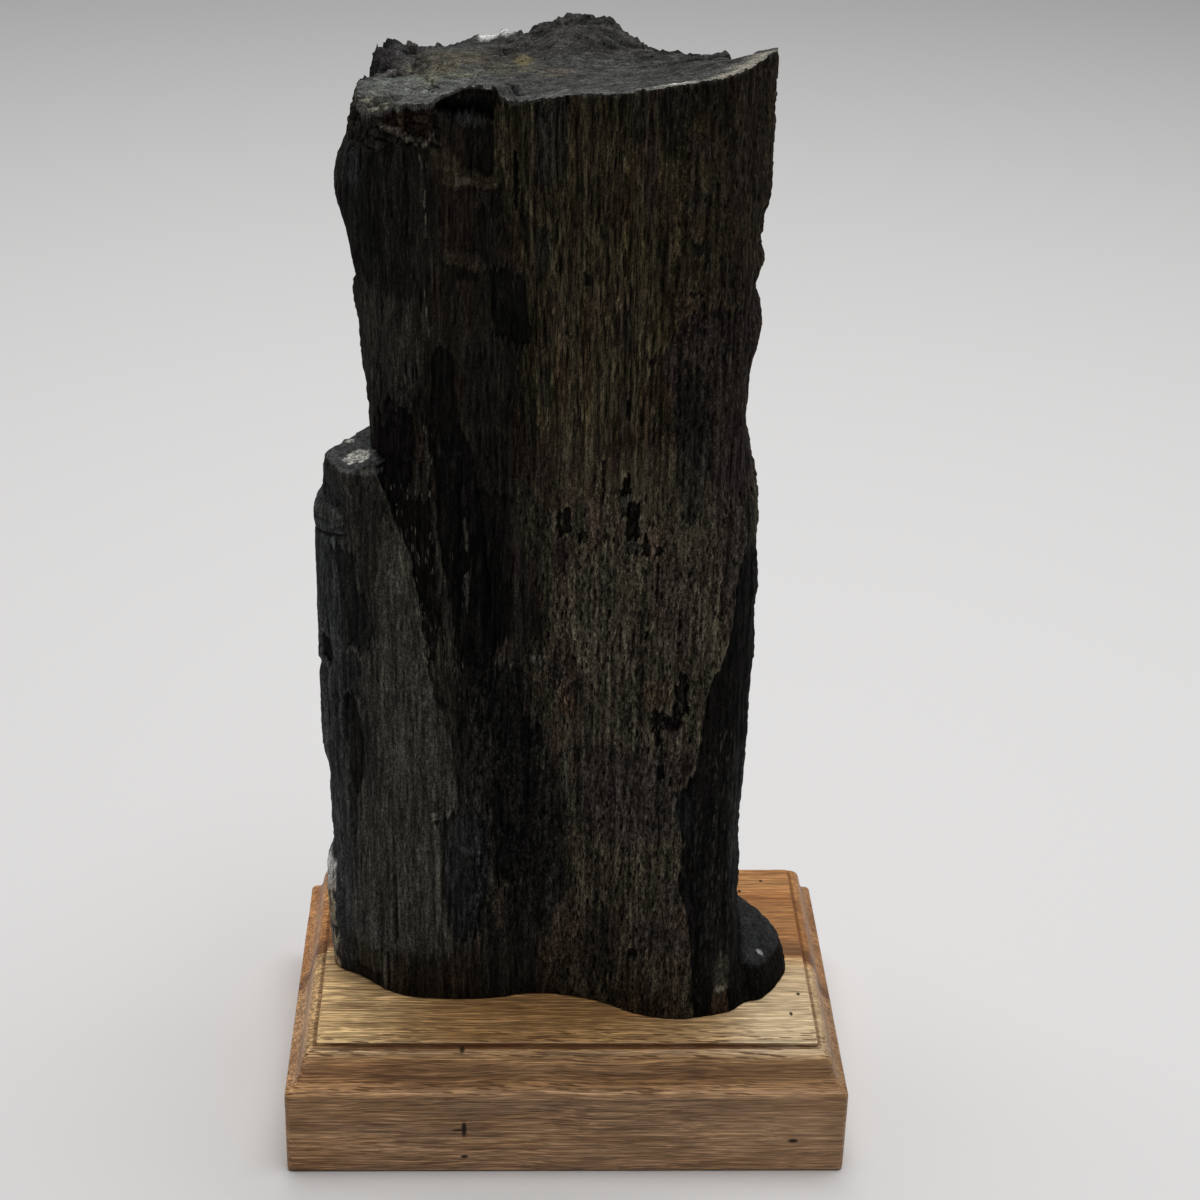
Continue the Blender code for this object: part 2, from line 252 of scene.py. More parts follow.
def between_stations(z):
    i = int(np.clip(np.searchsorted(ST_Z, z, side='right') - 1, 0,
                    len(ST_Z) - 2))
    h = ST_Z[i + 1] - ST_Z[i]
    t = (min(z, ST_Z[-1]) - ST_Z[i]) / h
    value = (ST_P[i] * (1 + 2 * t) * (1 - t) ** 2
             + ST_P[i + 1] * t * t * (3 - 2 * t)
             + h * ST_M[i] * t * (1 - t) ** 2
             - h * ST_M[i + 1] * t * t * (1 - t))
    outline = value.reshape(POINTS, 2).copy()
    step = ramp(z, *BACK_LEDGE) * (1.0 - ramp(z, *BACK_LEDGE_FADE))
    for point, depth in BACK_STEP.items():
        outline[point, 1] -= depth * step
    return outline


def around(values, u):
    n = len(values)
    i = np.floor(u).astype(int)
    t = (u - i)[:, None]
    p0, p1 = values[(i - 1) % n], values[i % n]
    p2, p3 = values[(i + 1) % n], values[(i + 2) % n]
    return 0.5 * (2 * p1 + (p2 - p0) * t
                  + (2 * p0 - 5 * p1 + 4 * p2 - p3) * t * t
                  + (3 * p1 - p0 - 3 * p2 + p3) * t ** 3)


def curve(z, pairs):
    """A value that changes with height, through the given (height, value) pairs."""
    p = sorted(pairs)
    return np.interp(z, [a for a, _ in p], [b for _, b in p])


# ------------------------------------------------------------------ stone wall
FRONT_STEP, BACK_STEP_MM = 0.37, 0.76
ROWS = 390
TOP_STEP = 0.62


def column_places():
    """Where the mesh columns stand: finer on the front than on the back."""
    sample = [between_stations(z) for z in (50.0, 90.0, 150.0, 178.0, 225.0, 262.0)]
    u = []
    for k in range(POINTS):
        length = max(np.hypot(*(s[(k + 1) % POINTS] - s[k])) for s in sample)
        step = FRONT_STEP if k < 17 or k == 26 else BACK_STEP_MM
        n = max(6, int(round(length / step)))
        u.extend(k + np.arange(n) / n)
    return np.array(u)


def macro_wall(u):
    """Rows of points up the stone, closest at the rim and at the steps."""
    heights = np.unique(np.concatenate((
        np.linspace(STONE_BOTTOM, TOP_LEVEL, 380),
        np.linspace(176, 200, 120), np.linspace(139, 147, 30))))
    rim = rim_line(u) + rim_break(u)
    dense = np.zeros((len(heights), len(u), 3))
    for r, z in enumerate(heights):
        dense[r, :, :2] = around(between_stations(z), u)
        if z > SHEAR_START:
            k = (z - SHEAR_START) / (TOP_LEVEL - SHEAR_START)
            dense[r, :, 2] = SHEAR_START + k * (rim - SHEAR_START)
        else:
            dense[r, :, 2] = z
    seg = np.linalg.norm(np.diff(dense, axis=0), axis=2)
    mid = 0.5 * (heights[1:] + heights[:-1])
    weight = 1.0 + 0.55 * smooth(262, 278, mid) + 0.5 * smooth(172, 178, mid) * (
        1 - smooth(200, 206, mid)) + 0.25 * (1 - smooth(42, 56, mid))
    length = np.vstack((np.zeros(len(u)),
                        np.cumsum(seg * weight[:, None], axis=0)))
    out = np.zeros((ROWS + 1, len(u), 3))
    for c in range(len(u)):
        at = np.linspace(0, length[-1, c], ROWS + 1)
        for a in range(3):
            out[:, c, a] = np.interp(at, length[:, c], dense[:, c, a])
    return out


def rim_line(u):
    """Height of the rim before it is broken: the stations, then the steps of
    its back edge drawn (place along the rim, height)."""
    return around(np.array(RIM_HEIGHTS)[:, None], u)[:, 0] + np.interp(
        u, [7.1, 7.3, 7.5, 7.62, 7.72, 8.0, 8.3, 17.2, 17.9, 18.3, 18.55, 18.7, 18.9, 19.1, 19.25, 19.6, 19.9, 20.1, 20.4,
            20.6, 20.85, 21.1, 21.25, 21.5, 22.0, 22.5, 22.75, 23.0, 23.12, 23.5, 23.62, 23.75,
            24.0, 24.25, 24.5, 25.0, 25.25, 25.5, 25.75, 26.0, 26.25, 26.5, 26.75],
        [0.0, 0.5, 1.5, 1.6, 0.0, -0.2, 0.0, 0.0, -1.0, -1.9, -1.8, 1.0, 2.0, 0.85, 0.2, 0.3, 0.35, -0.8, -0.5,
         -1.6, -0.5, 0.3, 1.1, 0.2, -0.7, 0.0, -1.0, -0.6, 0.5, 1.0, 0.4, -0.3,
         -0.3, -0.8, -1.5, -1.5, -1.6, -2.2, -3.6, -4.4, -3.4, -2.0, -0.8])


def rim_break(u):
    """The rim snapped off in short steps, one bundle of fibres at a time."""
    a = u * 6.0
    block = np.floor(a + 0.35 * np.sin(a * 1.7))
    h = _mix_bits(block.astype(np.int64), np.zeros(len(u), np.int64),
                  np.zeros(len(u), np.int64), 71) / 4294967295.0
    fine = _mix_bits(np.floor(u * 19.0).astype(np.int64),
                     np.zeros(len(u), np.int64), np.zeros(len(u), np.int64),
                     72) / 4294967295.0
    # calm along the front right rim and the horn, rough at the back and left
    rough = np.interp(u, [0, 1, 2, 3, 4, 6.5, 7.2, 8, 10, 14, 16, 17, 18, 21, 23, 25, 27],
                      [1.0, 1.0, 1.0, 0.6, 0.45, 0.45, 0.8, .9, .6, .45, .15, .2, 0.8, 1.4, 1.2, 1.9, 1.2])
    return rough * ((h - 0.55) * 1.3 + (fine - 0.5) * 0.5)


def grid_normals(p):
    du = np.roll(p, -1, axis=1) - np.roll(p, 1, axis=1)
    dv = np.gradient(p, axis=0)
    n = np.cross(du, dv)
    return n / np.maximum(np.linalg.norm(n, axis=2, keepdims=True), 1e-9)


# ---- places on the stone's front, as x for a height z
FACE_LEFT = ((292, -21), (268, -20.6), (262, -19), (252, -17.5), (246, -13.5),
             (230, -12.6), (227, -14.2), (205, -15.6), (190, -15), (180, -14),
             (165, -11), (150, -8), (146, -11.5), (138, -13), (128, -9.5),
             (120, -6.6), (108, -5.5), (100, -3.4), (80, -1.4), (68, -1.2),
             (62, -4), (52, -7), (46, -8), (37, -6))
# how far in from its left edge the face is still in half shadow, mm
FACE_DUSK = ((292, 2), (262, 4), (246, 7), (225, 9), (205, 13), (185, 16),
             (165, 14), (150, 9), (142, 10), (125, 10), (105, 7), (80, 5),
             (60, 6), (45, 12))
SLAB_RIGHT = ((196, -49.8), (193, -49.6), (188, -47.8), (183.4, -46.2),
              (176.6, -43.6), (169, -41.8), (161, -40.8), (152.5, -39.8),
              (142, -38.3), (131, -36.4), (126, -34.2), (118, -32),
              (111, -31.2), (103, -30.6), (97, -31.2), (90, -34.2),
              (80, -35.1), (65, -33.4), (55, -32.5), (37, -31))
PEEL_LEFT = ((184, 47), (176, 42.6), (165, 41.2), (155, 40.2), (149, 39),
             (144, 37.6), (142, 35.6), (136, 34), (130, 33.6), (121, 33.2),
             (114, 31.6), (108.5, 28.6), (104, 27.2), (97, 28.4), (94, 30),
             (86, 29.2), (78, 29), (74, 30.6), (66, 32), (58, 33.2),
             (46, 33.6), (37, 35))

RIGHT_EDGE = ((296, -0.1), (279, -0.1), (263, -0.3), (259.5, -1.4), (256, -1.5),
              (253, -2.1), (250, -1.6), (247, -0.6), (244.5, -1.6), (242, -2.3),
              (239, -2.0), (235, -0.5), (231, 0.5), (228, 0.2), (225, -0.9),
              (222, -1.8), (213, -2.8), (204, -2.3),
              (197, -0.3), (188, 0.2), (182, 0.0), (172, 0.2),
              (160, 0.9), (157, 0.4), (150, 0.0), (141, 0.3), (131, -0.5),
              (121, -0.2), (104, -0.4), (83, -0.9), (78, 0.0), (75, 0.3),
              (70, -0.6), (60, -0.5), (54, -0.4))
LEFT_EDGE = ((288, -0.5), (281, -0.3), (275, -1.0), (268, -0.1), (262, -0.3),
             (257, -1.5), (254, -2.3), (250.5, -3.4), (246, -3.9), (241.5, -3.6),
             (240.5, -2.7), (239, -0.9), (234, -0.2), (231, -0.3), (222, 0.2),
             (210, 0.0), (200, 0.0),
             (178, 0.2), (165, 0.0), (136, 0.3), (133.5, -0.7), (130, 0.2),
             (109, 0.7), (106.5, 0.5), (104, -0.5), (86, -0.3), (84, -0.7),
             (76, -0.8), (73, 0.1), (71, 0.9), (58, 0.5), (50, 0.2), (38, 0))

# Patches of the front, drawn in (x, z): outline, softness, colour
# (linear), how much of it, and how far the patch stands out, all mm.
BLACK = (0.0030, 0.0028, 0.0028)
DIM = (0.0090, 0.0085, 0.0078)
DUSKY = (0.0150, 0.0140, 0.0120)
PURPLE = (0.0200, 0.0150, 0.0140)
PATCHES = (
    # --- broad ribbed face, top to bottom
    (((-11.6, 291), (-4.4, 291), (-4.0, 280), (-5.2, 271), (-11.2, 270)), 2.2, (0.0130, 0.0135, 0.0120), 0.75, -0.35),
    (((-21.0, 288), (-17.2, 288), (-17.2, 266), (-20.8, 268)), 1.2, (0.046, 0.040, 0.024), 0.45, 0.2),
    (((-14.6, 290), (-12.2, 290), (-12.0, 262), (-14.6, 262)), 1.0, (0.044, 0.038, 0.022), 0.40, 0.1),
    (((-12.4, 290), (-11.8, 290), (-11.4, 249), (-12.2, 249)), 0.5, (0.070, 0.060, 0.040), 0.55, 0.25),
    (((-24, 268), (-19.6, 268), (-18.8, 261), (-23.5, 260)), 1.6, DIM, 0.6, -0.3),
    (((-11.4, 259), (-7.6, 259), (-7.4, 248), (-11.0, 245)), 1.6, (0.0125, 0.0135, 0.0115), 0.65, -0.2),
    (((-10.4, 225), (-7.6, 224), (-7.4, 214), (-10.2, 212)), 1.8, (0.0125, 0.0120, 0.0105), 0.6, -0.15),
    (((10.5, 293), (14.6, 294), (15.2, 281), (11, 280)), 1.6, (0.0120, 0.0120, 0.0095), 0.65, -0.15),
    (((15, 294), (28, 296), (27.6, 289), (21.8, 284.6), (20.8, 279.5), (18.2, 279.5), (17.6, 286)), 1.8, (0.0110, 0.0110, 0.0090), 0.65, -0.15),
    (((13.8, 286), (17.4, 284), (17.6, 272), (15.6, 262), (13.6, 272)), 2.0, (0.0200, 0.0140, 0.0120), 0.6, 0.0),
    (((22.8, 285), (29, 283.4), (28.6, 277), (24, 278)), 1.8, (0.0200, 0.0140, 0.0130), 0.6, 0.0),
    (((24.8, 271), (30, 270), (29.8, 264), (25.2, 265)), 1.8, (0.0150, 0.0120, 0.0120), 0.55, 0.0),
    (((30, 296), (42, 298), (45, 292), (44, 262), (38, 258), (31, 268)), 5.0, (0.0150, 0.0112, 0.0082), 0.70, 0.0),
    (((25.8, 257.8), (28.6, 257.6), (28.8, 254.6), (26.0, 254.4)), 0.9, (0.0090, 0.0110, 0.0110), 0.7, -0.4),
    (((0.2, 249.6), (2.2, 249), (2.4, 246), (0.6, 245.8)), 0.8, (0.0100, 0.0065, 0.0065), 0.7, -0.5),
    (((-2, 262), (8, 262), (9, 244), (-1, 244)), 3.5, (0.0440, 0.0370, 0.0220), 0.5, 0.0),
    (((1, 244), (6.6, 244), (6.8, 233), (1.4, 233)), 2.2, (0.0290, 0.0185, 0.0120), 0.5, 0.0),
    (((-7.6, 243), (-3.4, 243), (-3.2, 231), (-7.4, 231)), 2.4, (0.0240, 0.0160, 0.0130), 0.45, 0.0),
    (((8, 241), (12, 241), (12, 230), (8.4, 229)), 2.2, PURPLE, 0.45, 0.0),
    (((15.6, 228.6), (18.6, 229.6), (21.4, 231.8), (23.0, 236.6), (25.4, 240.2), (31, 241.4), (35, 240), (48, 240), (48, 192),
      (40, 188), (33, 196), (27, 203), (23, 210), (22, 222)), 1.0, (0.0205, 0.0150, 0.0140), 0.75, -0.5),
    (((30, 241), (44, 243), (44, 258), (36, 256), (31, 250)), 3.0, (0.0190, 0.0140, 0.0105), 0.6, 0.0),
    (((23.8, 225), (27.4, 226), (31.2, 216), (32, 200), (30.6, 186), (26.6, 185), (25.4, 198), (23.6, 212)), 2.2,
     (0.0120, 0.0135, 0.0130), 0.62, -0.15),
    (((7.8, 220), (12.0, 220.6), (12.4, 210), (11, 204), (9.6, 209)), 1.1, (0.0200, 0.0130, 0.0120), 0.6, -0.2),
    (((16.6, 214), (19.8, 214.6), (20.4, 204), (17.4, 203.6)), 1.0, (0.0160, 0.0140, 0.0100), 0.5, -0.2),
    (((32, 203), (44, 203), (45.6, 182), (43.5, 172), (40, 152), (36.5, 160), (33.6, 182)), 3.5, (0.0240, 0.0185, 0.0165), 0.65, 0.0),
    (((19, 176), (30, 172), (33, 150), (24, 148), (19.6, 160)), 4.0, (0.0380, 0.0300, 0.0260), 0.45, 0.0),
    (((-2, 205), (5, 208), (6, 192), (0, 190)), 2.5, (0.0360, 0.0310, 0.0180), 0.5, 0.0),
    (((12.6, 205), (24.0, 206), (24.6, 186), (17.8, 186), (14.6, 193)), 2.6, (0.0430, 0.0380, 0.0240), 0.5, 0.0),
    (((-1.5, 172), (9, 176), (10, 152), (0, 150)), 4.0, (0.0500, 0.0455, 0.0320), 0.6, 0.1),
    (((1, 156), (20, 157), (24, 150), (26, 121), (2, 115)), 5.0, (0.0580, 0.0520, 0.0370), 0.6, 0.1),
    (((17.0, 141.5), (25.2, 142), (25.6, 135), (22, 133.4), (17.6, 133)), 1.6, (0.066, 0.041, 0.027), 0.6, 0.0),
    (((-6.6, 148), (-2.4, 146), (-0.4, 134), (-5.4, 133), (-7, 140)), 2.4, (0.0380, 0.0230, 0.0190), 0.55, 0.0),
    (((-5.4, 179), (-1.4, 179), (-1.6, 169.6), (-5.2, 169.6)), 1.4, (0.0200, 0.0125, 0.0130), 0.7, -0.1),
    (((-5.4, 191), (-3.0, 191), (-2.6, 186), (-5.4, 186)), 1.0, (0.0260, 0.0170, 0.0130), 0.6, -0.1),
    (((10.2, 192.4), (12.8, 192), (12.8, 185.6), (10.6, 186)), 0.8, (0.0200, 0.0205, 0.0165), 0.8, -0.7),
    (((12.0, 180.4), (15.8, 180.4), (15.8, 176.2), (12.6, 176.4)), 0.8, (0.0230, 0.0235, 0.0195), 0.8, -0.5),
    (((22.8, 132), (26.4, 131.6), (26.4, 126.6), (23.2, 126.8)), 1.0, (0.0120, 0.0095, 0.0105), 0.8, -0.5),
    (((24.6, 131), (28.6, 130), (27.8, 124.8), (25.2, 124.6)), 1.2, (0.0200, 0.0130, 0.0140), 0.6, -0.2),
    (((-3.6, 133), (1, 131), (1.5, 126.5), (-4, 126.5)), 1.4, (0.0500, 0.0270, 0.0170), 0.5, 0.0),
    (((-6.2, 141), (-2.4, 140.6), (-2.8, 136), (-5.8, 136)), 1.4, (0.0250, 0.0265, 0.0250), 0.6, 0.1),
    (((-11.0, 142), (-7.6, 141.8), (-7.4, 139.2), (-10.8, 139)), 0.9, (0.0620, 0.0600, 0.0500), 0.6, 0.4),
    (((-10.0, 139), (-7.8, 139), (-7.4, 130), (-9.6, 129)), 1.2, (0.0480, 0.0360, 0.0270), 0.5, 0.1),
    (((1, 119), (26, 121), (27.0, 93), (15, 90), (2, 94)), 4.0, (0.0330, 0.0265, 0.0245), 0.72, -0.1),
    (((28, 121), (33, 121), (30.6, 112), (27.4, 108.6), (26.6, 113)), 1.6, (0.0290, 0.0205, 0.0190), 0.6, 0.0),
    (((2, 90), (27, 93), (28, 70), (14, 66), (3, 67)), 4.0, (0.0440, 0.0390, 0.0265), 0.6, 0.0),
    (((24, 82), (28.6, 82), (28.8, 70), (25, 70)), 2.0, (0.0250, 0.0190, 0.0190), 0.5, 0.0),
    (((17.4, 67), (30.5, 68), (31.5, 59), (18, 57.6)), 2.4, (0.0260, 0.0210, 0.0195), 0.70, -0.1),
    (((4.6, 70), (12.6, 67), (14.8, 57), (13.0, 46), (3.4, 43), (4.0, 55)), 2.8, (0.0130, 0.0105, 0.0088), 0.78, -0.2),
    (((16.4, 58), (31, 58), (31.8, 40), (24, 37), (13.8, 37), (14, 50)), 2.6, (0.0330, 0.0270, 0.0180), 0.62, 0.05),
    (((13, 46), (30, 44), (31, 37), (12.6, 37)), 2.2, (0.0330, 0.0225, 0.0140), 0.62, 0.0),
    (((-4.4, 66), (-0.8, 67), (-0.6, 60), (-2, 54), (-4.4, 57)), 1.2, (0.0400, 0.0275, 0.0220), 0.6, 0.2),
    (((-8, 54), (-4.2, 56.6), (-1.6, 54), (-2.2, 49), (-6, 47.6), (-8.2, 50)), 1.2, (0.0400, 0.0280, 0.0190), 0.6, 0.3),
    (((-9, 47), (-1, 48), (1, 37), (-9, 37)), 2.2, (0.0230, 0.0175, 0.0120), 0.6, 0.0),
    # --- shadowed margin left of the face
    (((-22, 246), (-15.5, 248), (-13.2, 245), (-12.2, 229), (-15, 227), (-21, 230)), 1.1, (0.0068, 0.0068, 0.0060), 0.85, -0.6),
    (((-29, 230), (-15.6, 228), (-16, 205), (-27, 203)), 3.0, (0.0120, 0.0110, 0.0088), 0.6, 0.0),
    (((-27, 203), (-16.4, 203), (-16.6, 184), (-25, 184)), 2.6, (0.0068, 0.0064, 0.0054), 0.75, -0.2),
    (((-25, 186), (-16.8, 186), (-16.2, 146), (-21, 140), (-24, 160)), 2.4, (0.0046, 0.0042, 0.0040), 0.88, -0.6),
    (((-9.8, 200), (-8.4, 200), (-8.2, 162), (-9.4, 160)), 0.9, (0.0300, 0.0275, 0.0200), 0.45, 0.2),
    (((-7.8, 201), (-6.6, 201), (-6.4, 176), (-7.6, 176)), 0.8, (0.0260, 0.0225, 0.0150), 0.40, 0.1),
    # --- lobe at the upper left
    (((-46.5, 279), (-37, 277), (-35.5, 272), (-35, 244), (-42, 240), (-51, 244), (-53, 262)), 4.0, (0.0125, 0.0115, 0.0098), 0.6, 0.0),
    (((-52, 242), (-40.5, 240), (-38.6, 226), (-39.4, 214), (-41, 213), (-45, 215.6), (-50, 212.6), (-52.4, 222)), 2.6, (0.0330, 0.0305, 0.0245), 0.68, 0.2),
    (((-51, 222), (-49.2, 228), (-47.6, 240), (-46.6, 230), (-48, 216)), 1.2, (0.0190, 0.0175, 0.0140), 0.5, -0.2),
    (((-57.2, 276), (-54.5, 277), (-51.8, 271), (-53.6, 265), (-57.5, 265)), 1.6, (0.0225, 0.0235, 0.0230), 0.6, 0.0),
    (((-35.4, 277), (-33, 277.6), (-28.4, 274), (-28.6, 271), (-34.5, 272.4)), 1.8, (0.0350, 0.0275, 0.0165), 0.6, 0.3),
    (((-34, 273), (-28, 272), (-20, 270.4), (-20, 267.6), (-30, 267.4), (-33.8, 269)), 1.4, (0.0380, 0.0300, 0.0175), 0.55, 0.4),
    (((-30, 270.4), (-26.6, 270), (-26.6, 268.4), (-30, 268.2)), 0.7, (0.0700, 0.0640, 0.0500), 0.55, 0.3),
    (((-33.5, 268), (-25, 267), (-24, 251), (-28, 249), (-33.5, 252)), 2.6, (0.0185, 0.0118, 0.0085), 0.60, 0.0),
    (((-33, 252.6), (-29.6, 251.4), (-24, 250.4), (-22.4, 248.2), (-24, 246.2), (-29, 248.2), (-33, 249)), 1.0, (0.0380, 0.0310, 0.0205), 0.55, 0.4),
    (((-30, 247), (-24.6, 245.6), (-24.8, 243.4), (-30, 244.6)), 0.9, DIM, 0.6, -0.3),
    # painted shade in the recess under the lip
    (((-34.0, 286.4), (-31.0, 289), (-21.2, 289), (-21.0, 284.6), (-26, 284.8), (-30.5, 283.4)), 1.0, (0.0042, 0.0040, 0.0040), 0.85, -0.2),
    (((-28.2, 282), (-20.9, 283.6), (-20.7, 271.4), (-27.0, 272)), 1.2, (0.0058, 0.0058, 0.0056), 0.82, -0.3),
    (((-30.0, 285.2), (-27.6, 285.8), (-24.6, 285.0), (-23.8, 283.4), (-25.4, 282.2), (-28.6, 282.6)), 1.4, (0.0270, 0.0285, 0.0290), 0.62, 0.2),
    (((-25.2, 262), (-21.6, 262), (-21.4, 247), (-24.8, 246)), 1.6, DIM, 0.6, -0.2),
    (((-20.4, 262), (-16.4, 258), (-14.2, 262), (-13.8, 250), (-17.4, 246), (-20, 250)), 1.8, (0.0210, 0.0150, 0.0105), 0.45, 0.0),
    # painted glints: thin bright threads down the lobe
    (((-38.6, 275), (-37.6, 275), (-37.2, 226), (-38.2, 226)), 0.8, (0.0200, 0.0180, 0.0135), 0.5, 0.1),
    (((-37.5, 266), (-37.2, 266), (-37.15, 262.4), (-37.45, 262.2)), 0.3, (0.0800, 0.0740, 0.0560), 0.42, 0.1),
    (((-37.4, 261), (-37.1, 261), (-37.05, 255), (-37.35, 255.2)), 0.3, (0.0800, 0.0740, 0.0560), 0.42, 0.1),
    (((-36.0, 250), (-35.7, 250), (-35.6, 241), (-35.9, 241)), 0.3, (0.0560, 0.0520, 0.0400), 0.45, 0.1),
    (((-37.2, 238), (-36.9, 238), (-36.8, 230), (-37.1, 230)), 0.3, (0.0500, 0.0460, 0.0360), 0.45, 0.1),
    (((-38.0, 211), (-37.6, 211), (-37.4, 196), (-37.8, 196)), 0.35, (0.0700, 0.0640, 0.0480), 0.50, 0.15),
    (((-37.7, 195), (-37.35, 195), (-37.3, 184), (-37.6, 184)), 0.35, (0.0850, 0.0790, 0.0620), 0.50, 0.15),
    (((-55.0, 289.5), (-47.5, 289), (-45.0, 286.4), (-47, 284.6), (-52, 283.6), (-55, 285)), 1.2, (0.120, 0.108, 0.078), 0.60, 0.4),
    (((-52.0, 286.8), (-46, 287.2), (-45.0, 285.4), (-51, 284.8)), 0.8, (0.180, 0.165, 0.120), 0.45, 0.3),
    (((-47.4, 286.0), (-36, 288), (-35.0, 281), (-41, 280.4), (-47.4, 281.6)), 1.6, (0.0200, 0.0125, 0.0088), 0.80, -0.2),
    (((-43.6, 285.6), (-42.4, 285.8), (-42.0, 282), (-43.4, 281.8)), 0.5, (0.0750, 0.0600, 0.0350), 0.50, 0.2),
    (((-39.4, 284.6), (-38.4, 284.8), (-38.0, 281.6), (-39.2, 281.4)), 0.5, (0.0450, 0.0280, 0.0160), 0.55, 0.2),
    (((-48.6, 282.6), (-44, 281.8), (-40.6, 280.2), (-37.6, 279.2), (-34.6, 281.4), (-34.4, 280.6), (-37.6, 277.8), (-41, 278.8), (-47.6, 281.2)), 0.7,
     (0.066, 0.056, 0.044), 0.6, 0.5),
    (((-54.6, 283), (-49, 282.4), (-46, 280), (-50, 276), (-54.8, 277)), 1.8, (0.0170, 0.0150, 0.0120), 0.65, -0.1),
    # --- deep valley with two rounded heads: dark stone, darkened further by painted shade
    (((-36.2, 222), (-34.8, 226.5), (-32.0, 226.5), (-30.2, 221), (-29.6, 206), (-26.8, 200), (-24.6, 184),
      (-22.4, 164), (-20.6, 150), (-20, 132), (-21, 120), (-22, 112), (-27, 128), (-30, 140), (-31, 150), (-32.5, 160),
      (-35.4, 176), (-36.4, 196)), 1.6, BLACK, 0.90, -0.9),
    (((-50.4, 204), (-49.4, 209.6), (-47, 212.6), (-43.6, 213.0), (-41.2, 210), (-40.2, 200), (-41.4, 190), (-45.0, 183),
      (-47.6, 188), (-50.0, 195)), 0.8, (0.0052, 0.0038, 0.0042), 0.92, -1.1),
    (((-49.8, 206), (-48.8, 210.2), (-46.8, 212.0), (-44.4, 212.2), (-46.6, 210.4), (-48.2, 206)), 0.6, (0.0170, 0.0135, 0.0130), 0.55, 0.3),
    (((-46.6, 183.5), (-43.6, 186), (-36.6, 184), (-35.6, 168), (-34.6, 150), (-36, 139), (-38.2, 140), (-39.6, 152),
      (-41.0, 163), (-42.6, 172)), 1.2, (0.0060, 0.0054, 0.0048), 0.85, -0.6),
    (((-41, 212), (-36.6, 212), (-36.2, 184), (-41, 185)), 1.6, (0.0125, 0.0095, 0.0075), 0.65, 0.2),
    (((-39.6, 204), (-38.7, 204), (-38.7, 196), (-39.6, 196)), 0.9, (0.0220, 0.0125, 0.0085), 0.45, 0.1),
    # painted glints: light threads in the valley
    (((-28.6, 177.5), (-28.2, 178), (-27.4, 173), (-27.4, 169), (-28.0, 168.4)), 0.45, (0.0620, 0.0580, 0.0450), 0.55, 0.25),
    (((-28.3, 162.4), (-26.8, 162.6), (-26.9, 161.4), (-27.3, 160.8), (-27.1, 154), (-27.6, 152.6), (-27.9, 157)), 0.45, (0.0640, 0.0600, 0.0470), 0.60, 0.25),
    (((-21, 136), (-13.6, 137), (-12.4, 124), (-8.2, 120), (-8.2, 106), (-10, 92), (-9.6, 80), (-10, 72), (-18, 74), (-20.4, 80),
      (-21, 96), (-21, 116)), 2.0, (0.0042, 0.0041, 0.0042), 0.86, -0.5),
    (((-30.4, 132), (-22, 130), (-21.4, 98), (-21.4, 74), (-24.6, 62), (-26, 70), (-23.4, 84), (-24.6, 97), (-29.6, 99), (-30.4, 112)), 1.8,
     (0.0125, 0.0120, 0.0108), 0.8, -0.3),
    (((-33.8, 97.2), (-24.4, 97.0), (-22.8, 90), (-22.4, 76), (-22.8, 66), (-24.6, 58.6), (-27.6, 55.4), (-30.6, 56.2), (-32.8, 63), (-34.2, 76)), 1.3,
     (0.0108, 0.0113, 0.0122), 0.80, -0.7),
    (((-29.5, 86), (-24, 85.4), (-23.2, 82.4), (-26, 82.6), (-29, 84.2)), 1.0, (0.0260, 0.0275, 0.0280), 0.55, 0.3),
    (((-8.2, 120), (-5.6, 116), (-2.6, 104), (-1, 84), (-1, 68), (-5, 60), (-9.6, 58), (-10, 80), (-8.8, 104)), 2.2, (0.0105, 0.0105, 0.0088), 0.75, -0.1),
    (((-10.2, 114), (-6.6, 114.4), (-6.6, 108), (-9.4, 107.6)), 1.0, (0.0290, 0.0285, 0.0200), 0.5, 0.3),
    (((-3.0, 112), (-0.8, 112), (0.6, 96), (-0.6, 88), (-2.2, 96)), 1.2, (0.0210, 0.0220, 0.0190), 0.55, 0.1),
    (((-22.6, 73), (-10, 72), (-9, 58), (-8, 37), (-23, 37), (-24, 60)), 2.6, (0.0085, 0.0078, 0.0062), 0.8, -0.1),
    (((-20.6, 76), (-17.2, 76), (-16.8, 62), (-19.8, 60)), 1.4, (0.0210, 0.0155, 0.0105), 0.5, 0.1),
    # --- slab at the lower left
    (((-64, 194), (-58.2, 194), (-57.8, 182), (-64, 183)), 1.2, (0.0150, 0.0150, 0.0145), 0.78, -0.1),
    (((-66.4, 181), (-60.2, 182), (-59.0, 180), (-61, 178.6), (-66.4, 177.6)), 1.2, (0.0560, 0.0550, 0.0490), 0.50, 0.3),
    (((-62.0, 176.2), (-58.6, 178.0), (-58.4, 176.6), (-61.8, 174.8)), 0.7, (0.0120, 0.0120, 0.0120), 0.60, -0.3),
    (((-54.8, 181.6), (-53.4, 181.6), (-51.6, 168), (-50.0, 160), (-51.4, 160), (-53.6, 170)), 1.0, (0.0420, 0.0390, 0.0320), 0.45, 0.2),
    (((-57.8, 193), (-50.4, 193), (-47.6, 185), (-49.4, 176), (-57.4, 178)), 1.6, (0.0185, 0.0170, 0.0140), 0.75, -0.2),
    (((-55.2, 178), (-50, 176), (-51, 147), (-54.6, 150)), 1.6, (0.0200, 0.0170, 0.0125), 0.75, -0.3),
    (((-49.8, 183), (-46.8, 183), (-44.6, 174), (-50, 172)), 1.2, (0.0400, 0.0360, 0.0270), 0.45, 0.1),
    (((-62.6, 171), (-59.4, 172), (-55.6, 170), (-55.2, 146), (-57.6, 143), (-58.4, 152), (-60.6, 163)), 1.6, (0.0085, 0.0085, 0.0085), 0.80, -0.4),
